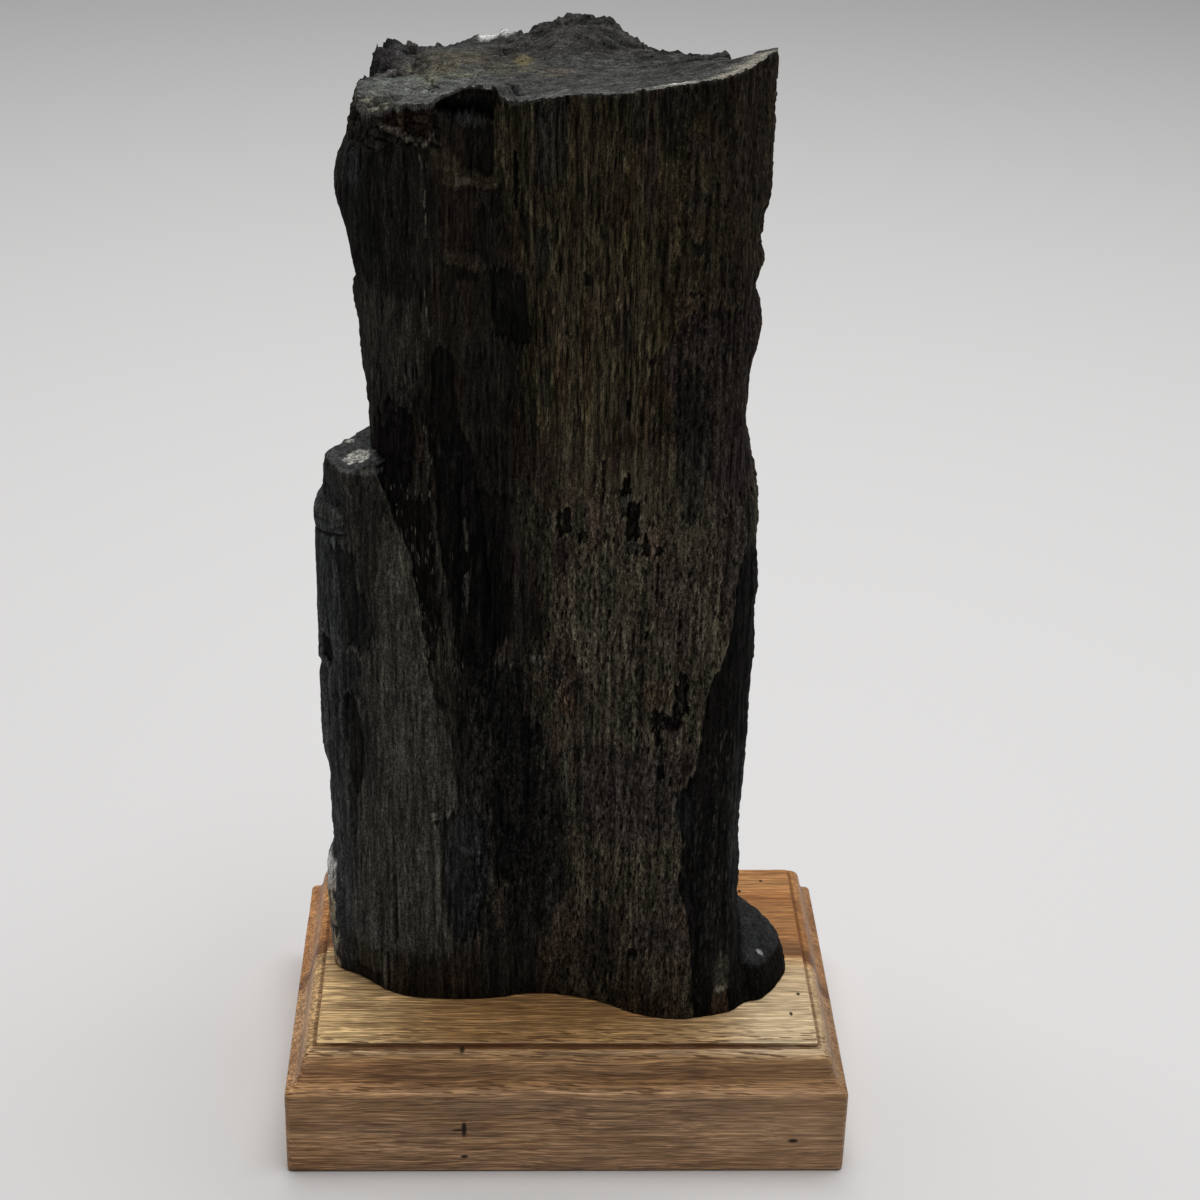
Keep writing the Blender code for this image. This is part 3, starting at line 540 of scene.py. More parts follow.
    (((-57.0, 162), (-51.4, 158), (-51.4, 147), (-54.4, 143), (-58.2, 143)), 1.6, (0.0072, 0.0072, 0.0078), 0.80, -0.3),
    (((-60.0, 142), (-55.2, 141), (-54.8, 130), (-59.6, 127)), 1.6, (0.0100, 0.0103, 0.0120), 0.75, -0.2),
    # painted shade in the ravine on the slab's left
    (((-60.2, 129.6), (-57.6, 130), (-56.0, 124), (-54.6, 114), (-55.2, 106), (-57.0, 99), (-58.6, 101), (-59.2, 112), (-60.0, 120)), 1.5, BLACK, 0.84, -0.8),
    (((-59.2, 101), (-57.0, 100), (-56.8, 90), (-58.0, 82), (-59.4, 90)), 1.2, (0.0075, 0.0075, 0.0078), 0.75, -0.4),
    # soft painted shade right of the ravine
    (((-56.0, 124), (-52.6, 122), (-51.8, 108), (-53.6, 96), (-55.4, 106), (-55.0, 114)), 2.0, (0.0170, 0.0170, 0.0165), 0.60, -0.2),
    (((-65.6, 143), (-63.2, 143.6), (-62.6, 139), (-63.4, 135.6), (-65.0, 136.2)), 0.9, BLACK, 0.85, -0.8),
    (((-63.9, 134.6), (-63.3, 134.8), (-63.5, 125), (-64.0, 125)), 0.4, (0.1000, 0.0990, 0.0940), 0.6, 0.2),
    (((-62.6, 150), (-60.6, 150), (-60.2, 132), (-62.0, 128), (-63.0, 136)), 1.2, (0.0470, 0.0490, 0.0510), 0.55, 0.2),
    (((-64.6, 124), (-61.0, 126), (-60.0, 112), (-60.4, 96), (-62.0, 80), (-64.4, 84), (-64.8, 104)), 1.6, (0.0430, 0.0445, 0.0450), 0.55, 0.2),
    (((-62.6, 126), (-60.6, 126), (-60.4, 109), (-61.4, 108)), 1.0, (0.0420, 0.0425, 0.0420), 0.5, 0.2),
    (((-61, 90), (-56, 92), (-55, 70), (-59, 66), (-62, 72)), 3.0, (0.0240, 0.0240, 0.0225), 0.55, 0.0),
    (((-53.6, 110), (-46.4, 112), (-46.6, 96), (-53, 92)), 3.0, (0.0340, 0.0320, 0.0255), 0.4, 0.0),
    (((-57.6, 58), (-54.0, 62), (-50.6, 57), (-50.8, 51), (-55.6, 48.4), (-57.4, 51)), 1.6, (0.0560, 0.0565, 0.0540), 0.40, 0.3),
    (((-47.8, 77), (-46.6, 77), (-46.2, 56), (-47.6, 54)), 0.9, (0.0130, 0.0125, 0.0110), 0.65, -0.5),
    (((-50.9, 49), (-49.9, 49), (-49.7, 37), (-50.7, 37)), 0.6, (0.0800, 0.0770, 0.0620), 0.55, 0.2),
    (((-49.9, 50), (-49.1, 50), (-48.9, 37), (-49.7, 37)), 0.6, BLACK, 0.6, -0.4),
    (((-60.6, 42.4), (-51.6, 42.2), (-51.4, 37), (-60.4, 37)), 1.4, (0.0058, 0.0050, 0.0042), 0.75, -0.4),
    (((-60, 50), (-51.6, 50.6), (-51.6, 42.6), (-60, 43)), 2.0, (0.0290, 0.0270, 0.0190), 0.65, 0.0),
    (((-48.6, 51), (-34, 52), (-24, 51.6), (-24, 37), (-48.6, 37)), 2.6, (0.0150, 0.0115, 0.0082), 0.80, -0.1),
    (((-41, 46), (-30, 46), (-30, 38), (-41, 38)), 2.2, (0.0250, 0.0160, 0.0100), 0.4, 0.0),
    (((-36.2, 93), (-34.8, 93), (-34.5, 66), (-35.5, 58), (-36.0, 66)), 0.9, (0.0640, 0.0630, 0.0500), 0.50, 0.6),
    (((-37.2, 97.0), (-33.4, 98.6), (-31.4, 97.0), (-33.2, 95.0), (-36.8, 94.8)), 1.0, (0.0620, 0.0600, 0.0480), 0.50, 0.5),
    (((-31.6, 96), (-30.4, 96), (-32.2, 86), (-33.4, 88)), 0.8, DUSKY, 0.6, -0.2),
    (((-49.6, 176), (-46.4, 178), (-41.6, 163), (-39.4, 142), (-42, 132), (-49.4, 134)), 2.6, (0.0560, 0.0520, 0.0390), 0.55, 0.25),
    (((-41.8, 147), (-38.8, 148), (-36.8, 133), (-38.4, 128), (-41.4, 131)), 1.8, (0.0720, 0.0660, 0.0510), 0.5, 0.2),
    (((-40, 126), (-33.4, 126), (-31.4, 108), (-34, 100), (-40, 102)), 3.0, (0.0460, 0.0440, 0.0330), 0.4, 0.0),
)

# chips out of the face: outline in (x, z) and depth, mm
CHIPS = (
    (((-5.1, 179.8), (-5.3, 184), (-4.6, 184.6), (-4.3, 187.4), (-3.7, 185.6), (-2.9, 186.4), (-1.3, 186.2), (-1.6, 183),
      (-1.1, 180.4), (-1.8, 178.4), (-3.2, 179.2), (-4.0, 178.0), (-4.6, 179.4)), 1.2),
    (((-0.2, 181.2), (0.8, 180.4), (1.6, 181.4), (3.1, 180.2), (2.5, 178.6), (2.9, 177.4), (1.5, 178), (0.7, 177.2), (0.2, 179)), 0.7),
    (((0.6, 175.8), (1.8, 175.4), (1.4, 174.4), (0.7, 174.8)), 0.6),
    (((10.8, 196.2), (11.3, 197.2), (11.7, 196.6), (12.2, 198.2), (12.8, 197.4), (12.6, 194.2), (13.5, 193.4), (13.0, 191.2),
      (12.2, 192.6), (11.2, 191.4), (9.8, 193.6), (10.9, 194.4)), 1.5),
    (((13.3, 190.6), (13.9, 191.4), (14.4, 190.4), (15.6, 190.8), (15.1, 186.4), (15.8, 181.2), (14.6, 180.2), (13.8, 181.2),
      (12.6, 179.8), (11.8, 181.8), (12.2, 185.6), (11.6, 187.0), (12.5, 190.0)), 1.8),
    (((16.7, 182.6), (17.1, 184), (17.7, 182.4), (17.8, 180.2), (18.6, 179.4), (18.2, 177.6), (18.5, 176.6), (17.1, 177.0),
      (16.0, 176.2), (16.3, 178.2), (15.7, 179.0), (16.6, 180.2)), 1.3),
    (((14.6, 178.0), (15.4, 177.6), (15.2, 176.4), (14.4, 176.8)), 0.7),
    (((19.3, 180.0), (19.9, 179.0), (20.9, 179.4), (21.8, 178.2), (21.2, 177.2), (21.5, 176.2), (20.2, 176.8), (19.5, 175.8), (19.7, 177.8)), 0.8),
    (((6.8, 181.8), (7.6, 181.6), (7.5, 179.6), (6.9, 179.8)), 0.6),
    (((18.2, 161), (18.6, 160.8), (18.5, 157), (18.2, 157.2)), 0.6),
    (((17.7, 155.2), (18.5, 155), (18.4, 152.4), (17.9, 152.2)), 0.7),
    (((40.2, 173.9), (40.9, 173.7), (40.8, 172), (40.3, 172.2)), 0.6),
    (((5.9, 201), (6.7, 201), (6.8, 190.6), (6.0, 189)), 0.7),
    (((20.2, 175), (20.8, 175), (20.6, 163), (20.1, 163)), 0.6),
    (((11.4, 157), (12.0, 157), (12.0, 149), (11.5, 149)), 0.5),
    (((6.6, 184), (7.3, 184), (7.3, 179), (6.7, 179)), 0.5),
    (((26.2, 158.6), (27.1, 158.4), (27.0, 155.8), (26.2, 155.8)), 0.8),
    (((8.2, 160), (9.1, 159.8), (9.0, 157.4), (8.3, 157.4)), 0.7),
    (((26.9, 143.6), (27.5, 144.4), (28.2, 143.2), (29.3, 144.0), (29.0, 141.4), (29.8, 140.2), (29.2, 137.6), (29.9, 133.4),
      (29.2, 131.4), (28.0, 130.6), (28.2, 128.2), (27.4, 127.2), (27.2, 125.8), (26.6, 127.6), (25.4, 127.2), (26.0, 130.4),
      (25.5, 133.4), (26.3, 136.2), (25.8, 139.8), (26.8, 141.2)), 1.5),
    (((20.4, 132.6), (21.2, 133.6), (22.0, 132.2), (23.2, 133.2), (23.0, 131.0), (24.2, 129.8), (23.0, 128.8), (23.4, 127.2),
      (22.4, 126.6), (22.8, 123.6), (21.9, 121.7), (21.2, 123.8), (21.0, 126.0), (20.0, 126.8), (20.4, 128.2), (19.0, 128.8),
      (19.4, 130.2), (18.9, 131.0), (20.2, 131.2)), 1.3),
    (((24.0, 131.4), (25.4, 131.0), (25.8, 128.2), (24.6, 127.4), (23.8, 129.0)), 0.5),
    (((21.8, 116.4), (23.6, 116.6), (24.4, 113), (23.3, 111.2), (22.1, 112)), 1.0),
    (((25.2, 113.4), (26.0, 113.2), (25.9, 110.2), (25.2, 110.4)), 0.7),
    (((16.3, 57.8), (18.6, 58.0), (18.8, 55.6), (17.4, 54.2), (16.1, 55.8)), 1.2),
    (((-16.3, 277.6), (-15.5, 277.4), (-15.1, 268), (-15.4, 262.8), (-16.3, 265)), 1.2),
    (((25.0, 246.6), (28.6, 246.0), (29.2, 244.8), (25.6, 245.2)), 0.6),
    (((-9.0, 238), (-8.5, 239), (-8.2, 229), (-8.9, 228)), 0.6),
    (((9.9, 256), (10.5, 256), (10.4, 249), (9.9, 249)), 0.6),
    (((11.1, 247), (11.7, 247), (11.6, 239), (11.1, 239)), 0.5),
    (((11.2, 218), (12.2, 218.4), (12.2, 212.4), (11.5, 212)), 0.8),
    (((17.9, 213), (18.5, 213), (18.5, 206), (18.0, 206)), 0.6),
    (((-1.4, 214), (-0.9, 214), (-0.9, 206), (-1.4, 206)), 0.5),
    (((0.9, 258), (1.5, 258), (1.4, 251), (1.0, 251)), 0.5),
)


def outline_mask(X, Z, outline, soft):
    """1 inside a drawn outline, fading out over soft mm at its edge."""
    pts = np.array(outline, float)
    lo, hi = pts.min(axis=0) - soft - 0.1, pts.max(axis=0) + soft + 0.1
    near = (X > lo[0]) & (X < hi[0]) & (Z > lo[1]) & (Z < hi[1])
    mask = np.zeros(X.shape)
    if not near.any():
        return mask
    x, z = X[near], Z[near]
    inside = np.zeros(x.shape, bool)
    gap = np.full(x.shape, 1e9)
    for (x1, z1), (x2, z2) in zip(pts, np.roll(pts, -1, axis=0)):
        ex, ez = x2 - x1, z2 - z1
        t = np.clip(((x - x1) * ex + (z - z1) * ez) / (ex * ex + ez * ez), 0, 1)
        gap = np.minimum(gap, np.hypot(x - x1 - t * ex, z - z1 - t * ez))
        if z1 != z2:
            span = (z1 > z) != (z2 > z)
            inside ^= span & (x < ex * (z - z1) / ez + x1)
    signed = np.where(inside, gap, -gap)
    mask[near] = smooth(-0.5 * soft, 0.5 * soft, signed)
    return mask


def blend(a, b, t):
    return a + (b - a) * t[..., None]


def wall_relief(P, u):
    """Outward displacement of the wall, and what the finish needs to know."""
    X, Y, Z = P[..., 0], P[..., 1], P[..., 2]
    U = np.broadcast_to(u, X.shape)
    front = smooth(0.0, 0.6, U) * (1 - smooth(15.6, 16.6, U)) + smooth(26.4, 27.0, U)
    front = np.clip(front, 0, 1)
    back = smooth(17.5, 18.5, U) * (1 - smooth(25.8, 26.6, U))
    top = rim_line(u)
    below = np.broadcast_to(top, X.shape) - Z

    # patch edges run ragged, following the fibres
    stray_x = 0.55 * gnoise(X / 2.2, Y / 2.2, Z / 7, 40) + 0.35 * gnoise(X / 0.9, Y / 0.9, Z / 3, 42)
    stray_z = 2.6 * gnoise(X / 0.8, Y / 0.8, Z / 60, 41) + 1.6 * gnoise(X / 3, Y / 3, Z / 12, 43)
    XR, ZR = X + stray_x, Z + 0.6 * stray_z

    face_gap = XR - curve(Z, FACE_LEFT)
    face = front * smooth(-0.9, 0.9, face_gap)
    slab_gap = curve(ZR, SLAB_RIGHT) - XR
    slab = front * smooth(-0.4, 0.5, slab_gap) * (1 - smooth(194, 196.5, Z))
    slab = np.maximum(slab, (smooth(25.0, 26.2, U) + (1 - smooth(0.0, 1.0, U))).clip(0, 1)
                      * (1 - smooth(194, 196.5, Z)))
    lobe = np.clip(front * (1 - face) + smooth(25.2, 26.2, U), 0, 1) * smooth(197, 203, Z)
    peel = front * smooth(-0.3, 0.5, XR - curve(ZR, PEEL_LEFT)) * (1 - smooth(172, 182, ZR))
    torn_edge = gnoise(Y / 2.6, Z / 26, 0.4, 76) + 0.6 * gnoise(Y / 1.1, Z / 9, 0.4, 77)
    peel = np.maximum(peel, smooth(14.8, 15.2, U) * (1 - smooth(16.1, 17.9, U + 0.9 * torn_edge))
                      * (1 - smooth(150, 182, ZR + 13 * torn_edge + 9 * (U - 15))) * smooth(50, 56, Z))
    low = face * (1 - smooth(182, 214, Z + 5 * gnoise(X / 6, Y / 6, Z / 20, 44)))
    grainy = np.clip(low + 0.8 * face * smooth(14, 26, X) * smooth(196, 210, Z), 0, 1)
    flat = 1 - smooth(0.35, 0.75, np.abs(grid_normals(P)[..., 2]))

    # broad swells and vertical ribs
    d = 0.62 * gnoise(X / 21, Y / 21, Z / 75, 1) + 0.34 * gnoise(X / 8, Y / 8, Z / 40, 2)
    rib = 1 - 2 * np.abs(gnoise(X / 3.4, Y / 3.4, Z / 95, 3))
    long_rib = 0.5 + 0.5 * (1 - grainy)
    d = d + (0.10 + 0.26 * face * long_rib + 0.12 * back + 0.06 * lobe) * (rib - 0.35)
    # bundles of fibres that snapped at different heights
    _, _, who = cells(X / 2.4, Y / 2.4, Z / 22, 5)
    _, _, who2 = cells(X / 1.15, Y / 1.15, Z / 8, 6)
    snap = (0.14 + 0.16 * face * long_rib + 0.35 * back + 0.05 * lobe) * (1 - 0.7 * peel) * (
        1 - 0.5 * slab)
    d = d + snap * (who - 0.5) * 1.5 + snap * (who2 - 0.5) * 0.8
    # fibres
    fa = gnoise(X / 1.25, Y / 1.25, Z / 20, 7)
    fb = gnoise(X / 0.85, Y / 0.85, Z / 7, 8)
    fc = gnoise(X / 1.2, Y / 1.2, Z / 2.6, 9)
    fd = gnoise(X / 2.6, Y / 2.6, Z / 3.4, 24)
    d = d + (0.17 + 0.08 * face * long_rib) * fa + 0.14 * fb
    d = d + grainy * (0.13 * fc + 0.09 * fd)
    # short slits between the fibres, shorter and denser where it is grainy
    l1, _, lw = cells(X / 1.35, Y / 1.35, Z / 12, 10)
    s1, _, sw = cells(X / 1.3, Y / 1.3, Z / 4.0, 11)
    slit = smooth(0.34, 0.15, l1) * (lw > 0.45) * (1 - grainy)
    slit = np.maximum(slit, smooth(0.40, 0.18, s1) * (sw > 0.40) * grainy)
    slit = slit * (1 - 0.8 * peel) * (1 - 0.5 * slab)
    d = d - 0.38 * slit
    # the slab stands proud of the valley, the peeled band lies behind the face
    d = d + 0.9 * slab * front * smooth(112, 140, Z) * (1 - smooth(2.0, 12.0, slab_gap))
    d = d - 0.65 * peel * front
    # drawn patches
    hold = np.zeros(X.shape)
    painted = []
    uneven = 0.5 + 0.5 * np.clip(gnoise(X / 1.9, Y / 1.9, Z / 9, 47) * 1.3
                                 + gnoise(X / 0.8, Y / 0.8, Z / 4, 48), -1, 1)
    for outline, soft, colour, amount, out in PATCHES:
        size = np.ptp(np.array(outline), axis=0)
        kx, kz = min(1.2, size[0] / 7), min(1.2, size[1] / 16)
        k = outline_mask(X + kx * stray_x, Z + kz * stray_z, outline, soft) * front
        k = np.clip(k * (1.12 - 0.34 * uneven * min(1, size[0] / 5)), 0, 1)
        painted.append(k)
        if out:
            d = d + out * k
        if out < -0.4:
            hold = np.maximum(hold, k * min(1.0, -out))
    chip = np.zeros(X.shape)
    XC = X + 0.30 * gnoise(X / 0.9, Y / 0.9, Z / 1.6, 45)
    ZC = Z + 1.3 * gnoise(X / 0.6, Y / 0.6, Z / 40, 46)
    for outline, depth in CHIPS:
        k = outline_mask(XC, ZC, outline, 0.34) * front
        chip = np.maximum(chip, k * min(1.0, 0.80 + 0.20 * depth) * (1 - 0.10 * uneven))
        d = d - depth * k * (1 - 0.4 * uneven)
    # crumbly floor of the valley
    crumb = np.clip(1.2 * (1 - face) * front, 0, 1) * smooth(-29, -24, X) * (1 - smooth(130, 150, Z)) * smooth(48, 66, Z)
    d = d + crumb * 0.32 * fnoise(X / 2.2, Y / 2.2, Z / 2.8, 25)
    # recess under the lip, left of the face, and the lumps at the front left
    uneven_lip = np.clip(0.5 + gnoise(X / 1.6, Y / 1.6, Z / 3, 49), 0, 1)
    lip = outline_mask(XR, ZR, ((-34.6, 287.4), (-31, 294), (-21.4, 296), (-21.2, 284.6), (-26, 286.4), (-31, 285.6)),
                       1.6) * front * smooth(0.3, 1.6, below)
    d = d - 2.1 * lip * (1 - 0.25 * uneven_lip)
    lump = smooth(-30, -36, X) * smooth(26.2, 27, U + 27 * (U < 13)) * (1 - smooth(5, 7, U) * (U < 13)) * \
        smooth(12, 7.5, below + 2 * gnoise(X / 4, Y / 4, Z / 4, 14))
    c1, c2, cw = cells(X / 3.6, Y / 3.6, Z / 2.6, 15)
    d = d + lump * (0.85 * (cw - 0.45) - 0.35 * smooth(0.16, 0.02, c2 - c1)
                    + 0.35 * fnoise(X / 1.6, Y / 1.6, Z / 1.2, 17))
    step_line = 280.0 - 0.16 * (X + 43) + 1.5 * gnoise(X / 2.1, 0.5, 0.5, 16) + 0.5 * gnoise(X / 0.8, 0.5, 0.5, 19)
    torn = smooth(-53, -50, X) * smooth(-32, -36, X) * front * smooth(
        1.8, 0.2, np.abs(Z - step_line)) * smooth(-0.35, 0.25, gnoise(X / 2.6, 0.2, 0.9, 28))
    d = d + 1.0 * torn * smooth(-0.2, 0.3, Z - step_line) - 0.5 * torn * smooth(
        0.2, -0.5, Z - step_line)
    # facets of the slab's left side: a crease below the ledge, two small steps
    crease = smooth(2.2, 0.0, np.abs(X + 57.6 + 0.10 * (Z - 186))) * smooth(174, 180, Z) * (
        1 - smooth(193.5, 195.5, Z)) * front
    d = d + 0.55 * crease
    notch = smooth(-57.4, -59.0, XR) * smooth(0.9, 0.0, np.abs(Z - 173.6 - 0.25 * (X + 64))) * (Y < 5)
    d = d - 0.6 * notch
    d = d + 0.5 * smooth(-57.0, -59.5, XR) * smooth(2.6, 0.0, np.abs(Z - 176.6)) * (Y < 5)
    # outline of the two edges
    right = smooth(13.2, 15.2, U) * (1 - smooth(18.2, 20.0, U)) * smooth(50, 60, Z)
    left = np.clip(smooth(24.6, 26.2, U) + (1 - smooth(0.6, 1.8, U)), 0, 1)
    nick = 0.26 * gnoise(X / 2, Y / 2, Z / 1.9, 18) + 0.20 * gnoise(X / 1.5, Y / 1.5, Z / 0.9, 26)
    _, _, bite = cells(X / 4, Y / 4, Z / 3.6, 27)
    d = d + right * (curve(Z, RIGHT_EDGE) + nick + 0.45 * (bite - 0.5))
    d = d + left * (curve(Z, LEFT_EDGE) + 0.8 * nick + 0.3 * (bite - 0.5))
    # the back split away in plates
    b1, b2, bw = cells(X / 11, Y / 11, Z / 60, 20)
    d = d + back * (1.1 * (bw - 0.5) - 0.5 * smooth(0.10, 0.0, b2 - b1))
    d = d + back * 0.5 * fnoise(X / 6, Y / 6, Z / 14, 21)
    # foot: broken, not fibrous
    foot = smooth(14.2, 15.4, U) * (1 - smooth(18.6, 19.6, U)) * (1 - smooth(48, 54, Z))
    d = d + foot * 0.35 * fnoise(X / 3, Y / 3, Z / 3, 22)
    rough_flat = 1 - flat
    d = d * (1 - 0.75 * rough_flat) + rough_flat * 0.40 * fnoise(X / 2.2, Y / 2.2, Z / 2.2, 23)
    # ease to the flat seat, and to the rim where the broken top takes over
    d = d * (0.35 + 0.65 * smooth(0.0, 5.0, Z - STONE_BOTTOM))
    near_rim = smooth(1.2, 0.0, below)
    d = d * (1 - 0.35 * near_rim)
    info = dict(face=face, slab=slab, lobe=lobe, peel=peel, flat=flat, fa=fa,
                fb=fb, fc=fc, fd=fd, rib=rib, slit=slit, chip=chip, lip=lip,
                lump=lump, torn=torn, back=back, foot=foot, who=who, who2=who2,
                below=below, low=low, grainy=grainy, front=front, left=left,
                right=right, painted=painted, hold=hold, slab_gap=slab_gap,
                XR=XR, ZR=ZR, face_gap=face_gap, uneven=uneven, crumb=crumb)
    return d, info


def convexity(W):
    """How far each point stands out of its neighbours, near and wider."""
    n = grid_normals(W)
    out = []
    for s in (1, 3):
        up = np.concatenate((W[:s], W[:-s]))
        dn = np.concatenate((W[s:], W[-s:]))
        mean = 0.25 * (np.roll(W, s, 1) + np.roll(W, -s, 1) + up + dn)
        out.append(((W - mean) * n).sum(axis=2))
    return out


def wall_colour(P, W, u, m):
    """Linear colour of the wall, and what the fine pattern does where."""
    X, Y, Z = P[..., 0], P[..., 1], P[..., 2]
    U = np.broadcast_to(u, X.shape)
    one = np.ones(X.shape + (1,))
    patch = gnoise(X / 13, Y / 13, Z / 34, 50)
    patch2 = gnoise(X / 4.5, Y / 4.5, Z / 16, 51)

    olive = np.array((0.0300, 0.0248, 0.0148))
    olive_low = np.array((0.0420, 0.0365, 0.0250))
    lobe_grey = np.array((0.0145, 0.0130, 0.0102))
    slab_tone = np.array((0.0400, 0.0385, 0.0315))
    blue_tone = np.array((0.0330, 0.0345, 0.0355))
    back_tone = np.array((0.0300, 0.0265, 0.0205))
    col = blend(lobe_grey * one, blend(olive * one, olive_low * one, m['low']), m['face'])
    col = blend(col, slab_tone * one, m['slab'] * m['front'])
    lobe = m['lobe'] * m['front']
    col = blend(col, np.array((0.0118, 0.0120, 0.0112)) * one, lobe * 0.8 * smooth(-40, -46, X) * smooth(238, 248, Z))
    col = blend(col, np.array((0.0152, 0.0126, 0.0088)) * one, lobe * 0.7 * smooth(-42, -37, X))
    blue = np.clip(smooth(-57.5, -61, m['XR']) * (1 - smooth(186, 196, Z)), 0, 1)
    col = blend(col, blue_tone * one, blue)
    dusk = smooth(-0.5, 1.0, m['face_gap'] / curve(Z, FACE_DUSK)) * m['front'] + 1 - m['front']
    col = col * np.where(m['face'] > 0, 1 - m['face'] * 0.62 * (1 - dusk), 1.0)[..., None]
    # painted shade under the front rim, and darker toward the upper right
    shade = 1 - 0.30 * m['front'] * smooth(16, 3, m['below']) * (X > -22)
    shade = shade * (1 - 0.30 * m['front'] * smooth(20, 40, X) * smooth(180, 235, Z))
    col = col * shade[..., None]
    col = blend(col, back_tone * one, m['back'])
    right_side = smooth(15.0, 15.8, U) * (1 - smooth(17.6, 18.4, U))
    col = blend(col, np.array((0.026, 0.021, 0.017)) * one, right_side)
    level_by_height = np.interp(Z, [45, 95, 115, 165, 190, 230, 250, 270], [0.98, 0.97, 1.16, 1.20, 1.12, 1.10, 0.95, 0.92])
    col = col * (1 + m['face'] * (level_by_height - 1) - 0.06 * m['slab'] * m['front'])[..., None]
    lift = 0.22 * m['front'] * (1 - m['face']) * (1 - m['slab']) * smooth(192, 180, Z)
    lift = lift + 0.36 * m['face'] * smooth(-12, -4, X) * smooth(20, 11, X) * smooth(264, 248, Z) * smooth(190, 204, Z)
    lift = lift + 0.20 * m['slab'] * m['front'] * smooth(104, 82, Z) * smooth(-34, -40, X)
    lift = lift + 0.24 * m['slab'] * m['front'] * smooth(-53, -48, X) * smooth(98, 112, Z) * smooth(184, 170, Z)
    # painted half shade on the face's left margin
    lift = lift - 0.30 * m['face'] * smooth(-6, -10, X) * smooth(140, 152, Z) * smooth(206, 194, Z)
    col = col * (1 + lift)[..., None]
    # purple-brown and olive drift through the face
    drift = smooth(0.0, 0.5, gnoise(X / 3.2, Y / 3.2, Z / 17, 52)) * (1 - 0.8 * m['slab'])
    col = blend(col, col * np.array((1.02, 0.80, 0.88)), drift * 0.75)
    gold = smooth(0.1, 0.6, gnoise(X / 2.4, Y / 2.4, Z / 30, 62)) * m['face'] * (1 - m['low'])
    col = blend(col, col * np.array((1.25, 1.22, 1.02)), gold)
    # lumps and torn fibres at the top left, paler and browner
    lumpy = np.clip(m['lump'] * (0.25 + 0.75 * smooth(0.3, 0.8, m['who2'])), 0, 1)
    col = blend(col, np.array((0.030, 0.025, 0.018)) * one, 0.55 * lumpy * smooth(-43, -49, X))
    col = blend(col, np.array((0.0120, 0.0085, 0.0065)) * one, 0.65 * m['lump'] * smooth(-49, -44, X))
    for k, (outline, soft, colour, amount, out) in zip(m['painted'], PATCHES):
        col = blend(col, np.array(colour) * one, k * amount)
    col = blend(col, np.array((0.050, 0.043, 0.034)) * one, 0.45 * m['torn'] * m['uneven'])
    valley = m['front'] * (1 - m['face']) * (1 - m['slab']) * smooth(150, 140, Z)
    col = col * (1 + 0.26 * valley)[..., None]
    col = blend(col, np.array((0.0030, 0.0028, 0.0030)) * one, m['peel'] * 0.94)
    threads = outline_mask(m['XR'], m['ZR'], ((41.6, 134), (46.5, 134), (47.5, 96), (41.0, 96)), 1.6) * m['front']
    threads = threads * smooth(0.10, 0.42, gnoise(X / 0.9, Y / 0.9, Z / 9, 75))
    fray = gnoise(X / 1.6, Y / 1.6, Z / 16, 78)
    threads = threads * smooth(-0.30, 0.25, fray)
    col = blend(col, np.array((0.022, 0.022, 0.020)) * one, threads * 0.7)
    stubs = m['peel'] * m['front'] * smooth(122, 100, Z + 6 * fray) * smooth(40, 50, Z)
    stubs = stubs * smooth(0.05, 0.40, gnoise(X / 0.75, Y / 0.75, Z / 3.4, 79))
    col = blend(col, np.array((0.0170, 0.0170, 0.0165)) * one, stubs * 0.55)
    strip = outline_mask(m['XR'], m['ZR'], ((43.2, 118), (46, 118), (48.5, 70), (44.4, 70), (43.6, 90)), 1.2) * m['front']
    strip = strip * smooth(68, 92, Z + 14 * fray) * (0.55 + 0.45 * smooth(-0.3, 0.2, fray))
    col = blend(col, np.array((0.020, 0.021, 0.021)) * one, strip * 0.66)
    edging = outline_mask(m['XR'], m['ZR'], ((26.6, 108), (28.8, 109), (31.4, 105), (31.2, 96), (28.6, 95), (27.2, 99)), 1.2) * m['front']
    col = blend(col, np.array((0.0165, 0.0180, 0.0175)) * one, edging * 0.7)

    tone = 1 + 0.24 * patch + 0.24 * patch2 + 0.44 * m['fa'] + 0.36 * m['fb'] \
        + 0.14 * (m['rib'] - 0.3) + 0.30 * (m['who'] - 0.5) + 0.30 * (m['who2'] - 0.5) \
        + m['grainy'] * (0.24 * m['fc'] + 0.14 * m['fd']) \
        + m['crumb'] * 0.45 * fnoise(X / 1.7, Y / 1.7, Z / 1.5, 69)
    blotchy = m['face'] * smooth(18, 28, X) * smooth(224, 238, Z)
    calm = 0.45 * m['slab'] * m['front'] + 0.28 * lobe + 0.38 * blotchy
    tone = tone * (1 - calm) + calm
    groove = 1 - smooth(0.0, 0.09, np.abs(gnoise(X / 3.0 + 0.5 * gnoise(Z / 14, 0.5, 0.5, 70), Y / 3.0, Z / 60, 71)))
    streak = smooth(0.15, 0.5, gnoise(X / 2.2, Y / 2.2, Z / 45, 72))
    tone = tone * (1 + m['slab'] * m['front'] * (0.22 * streak - 0.42 * groove))
    # darker in hollows, lighter where the wall stands out: painted shade in the hollows
    near, wide = convexity(W)
    tone = tone * np.clip(1 + 4.2 * near + 1.0 * wide, 0.22, 2.4)
    tone = np.clip(tone, 0.08, 3.2)
    tone = np.where(m['lump'] > 0, np.minimum(tone, 3.2 - 1.9 * m['lump']), tone)
    col = col * tone[..., None]
    # painted shade: chips, slits and the recess under the lip go near black
    painted_cavity_shade = np.clip(np.maximum(m['chip'], 0.6 * m['slit']) + 0.62 * m['lip'], 0, 1)
    inner = 0.80 + 0.26 * gnoise(X / 0.7, Y / 0.7, Z / 2.4, 68)
    col = blend(col, np.array(BLACK) * 0.8 * one, painted_cavity_shade * np.clip(inner, 0.4, 0.98))
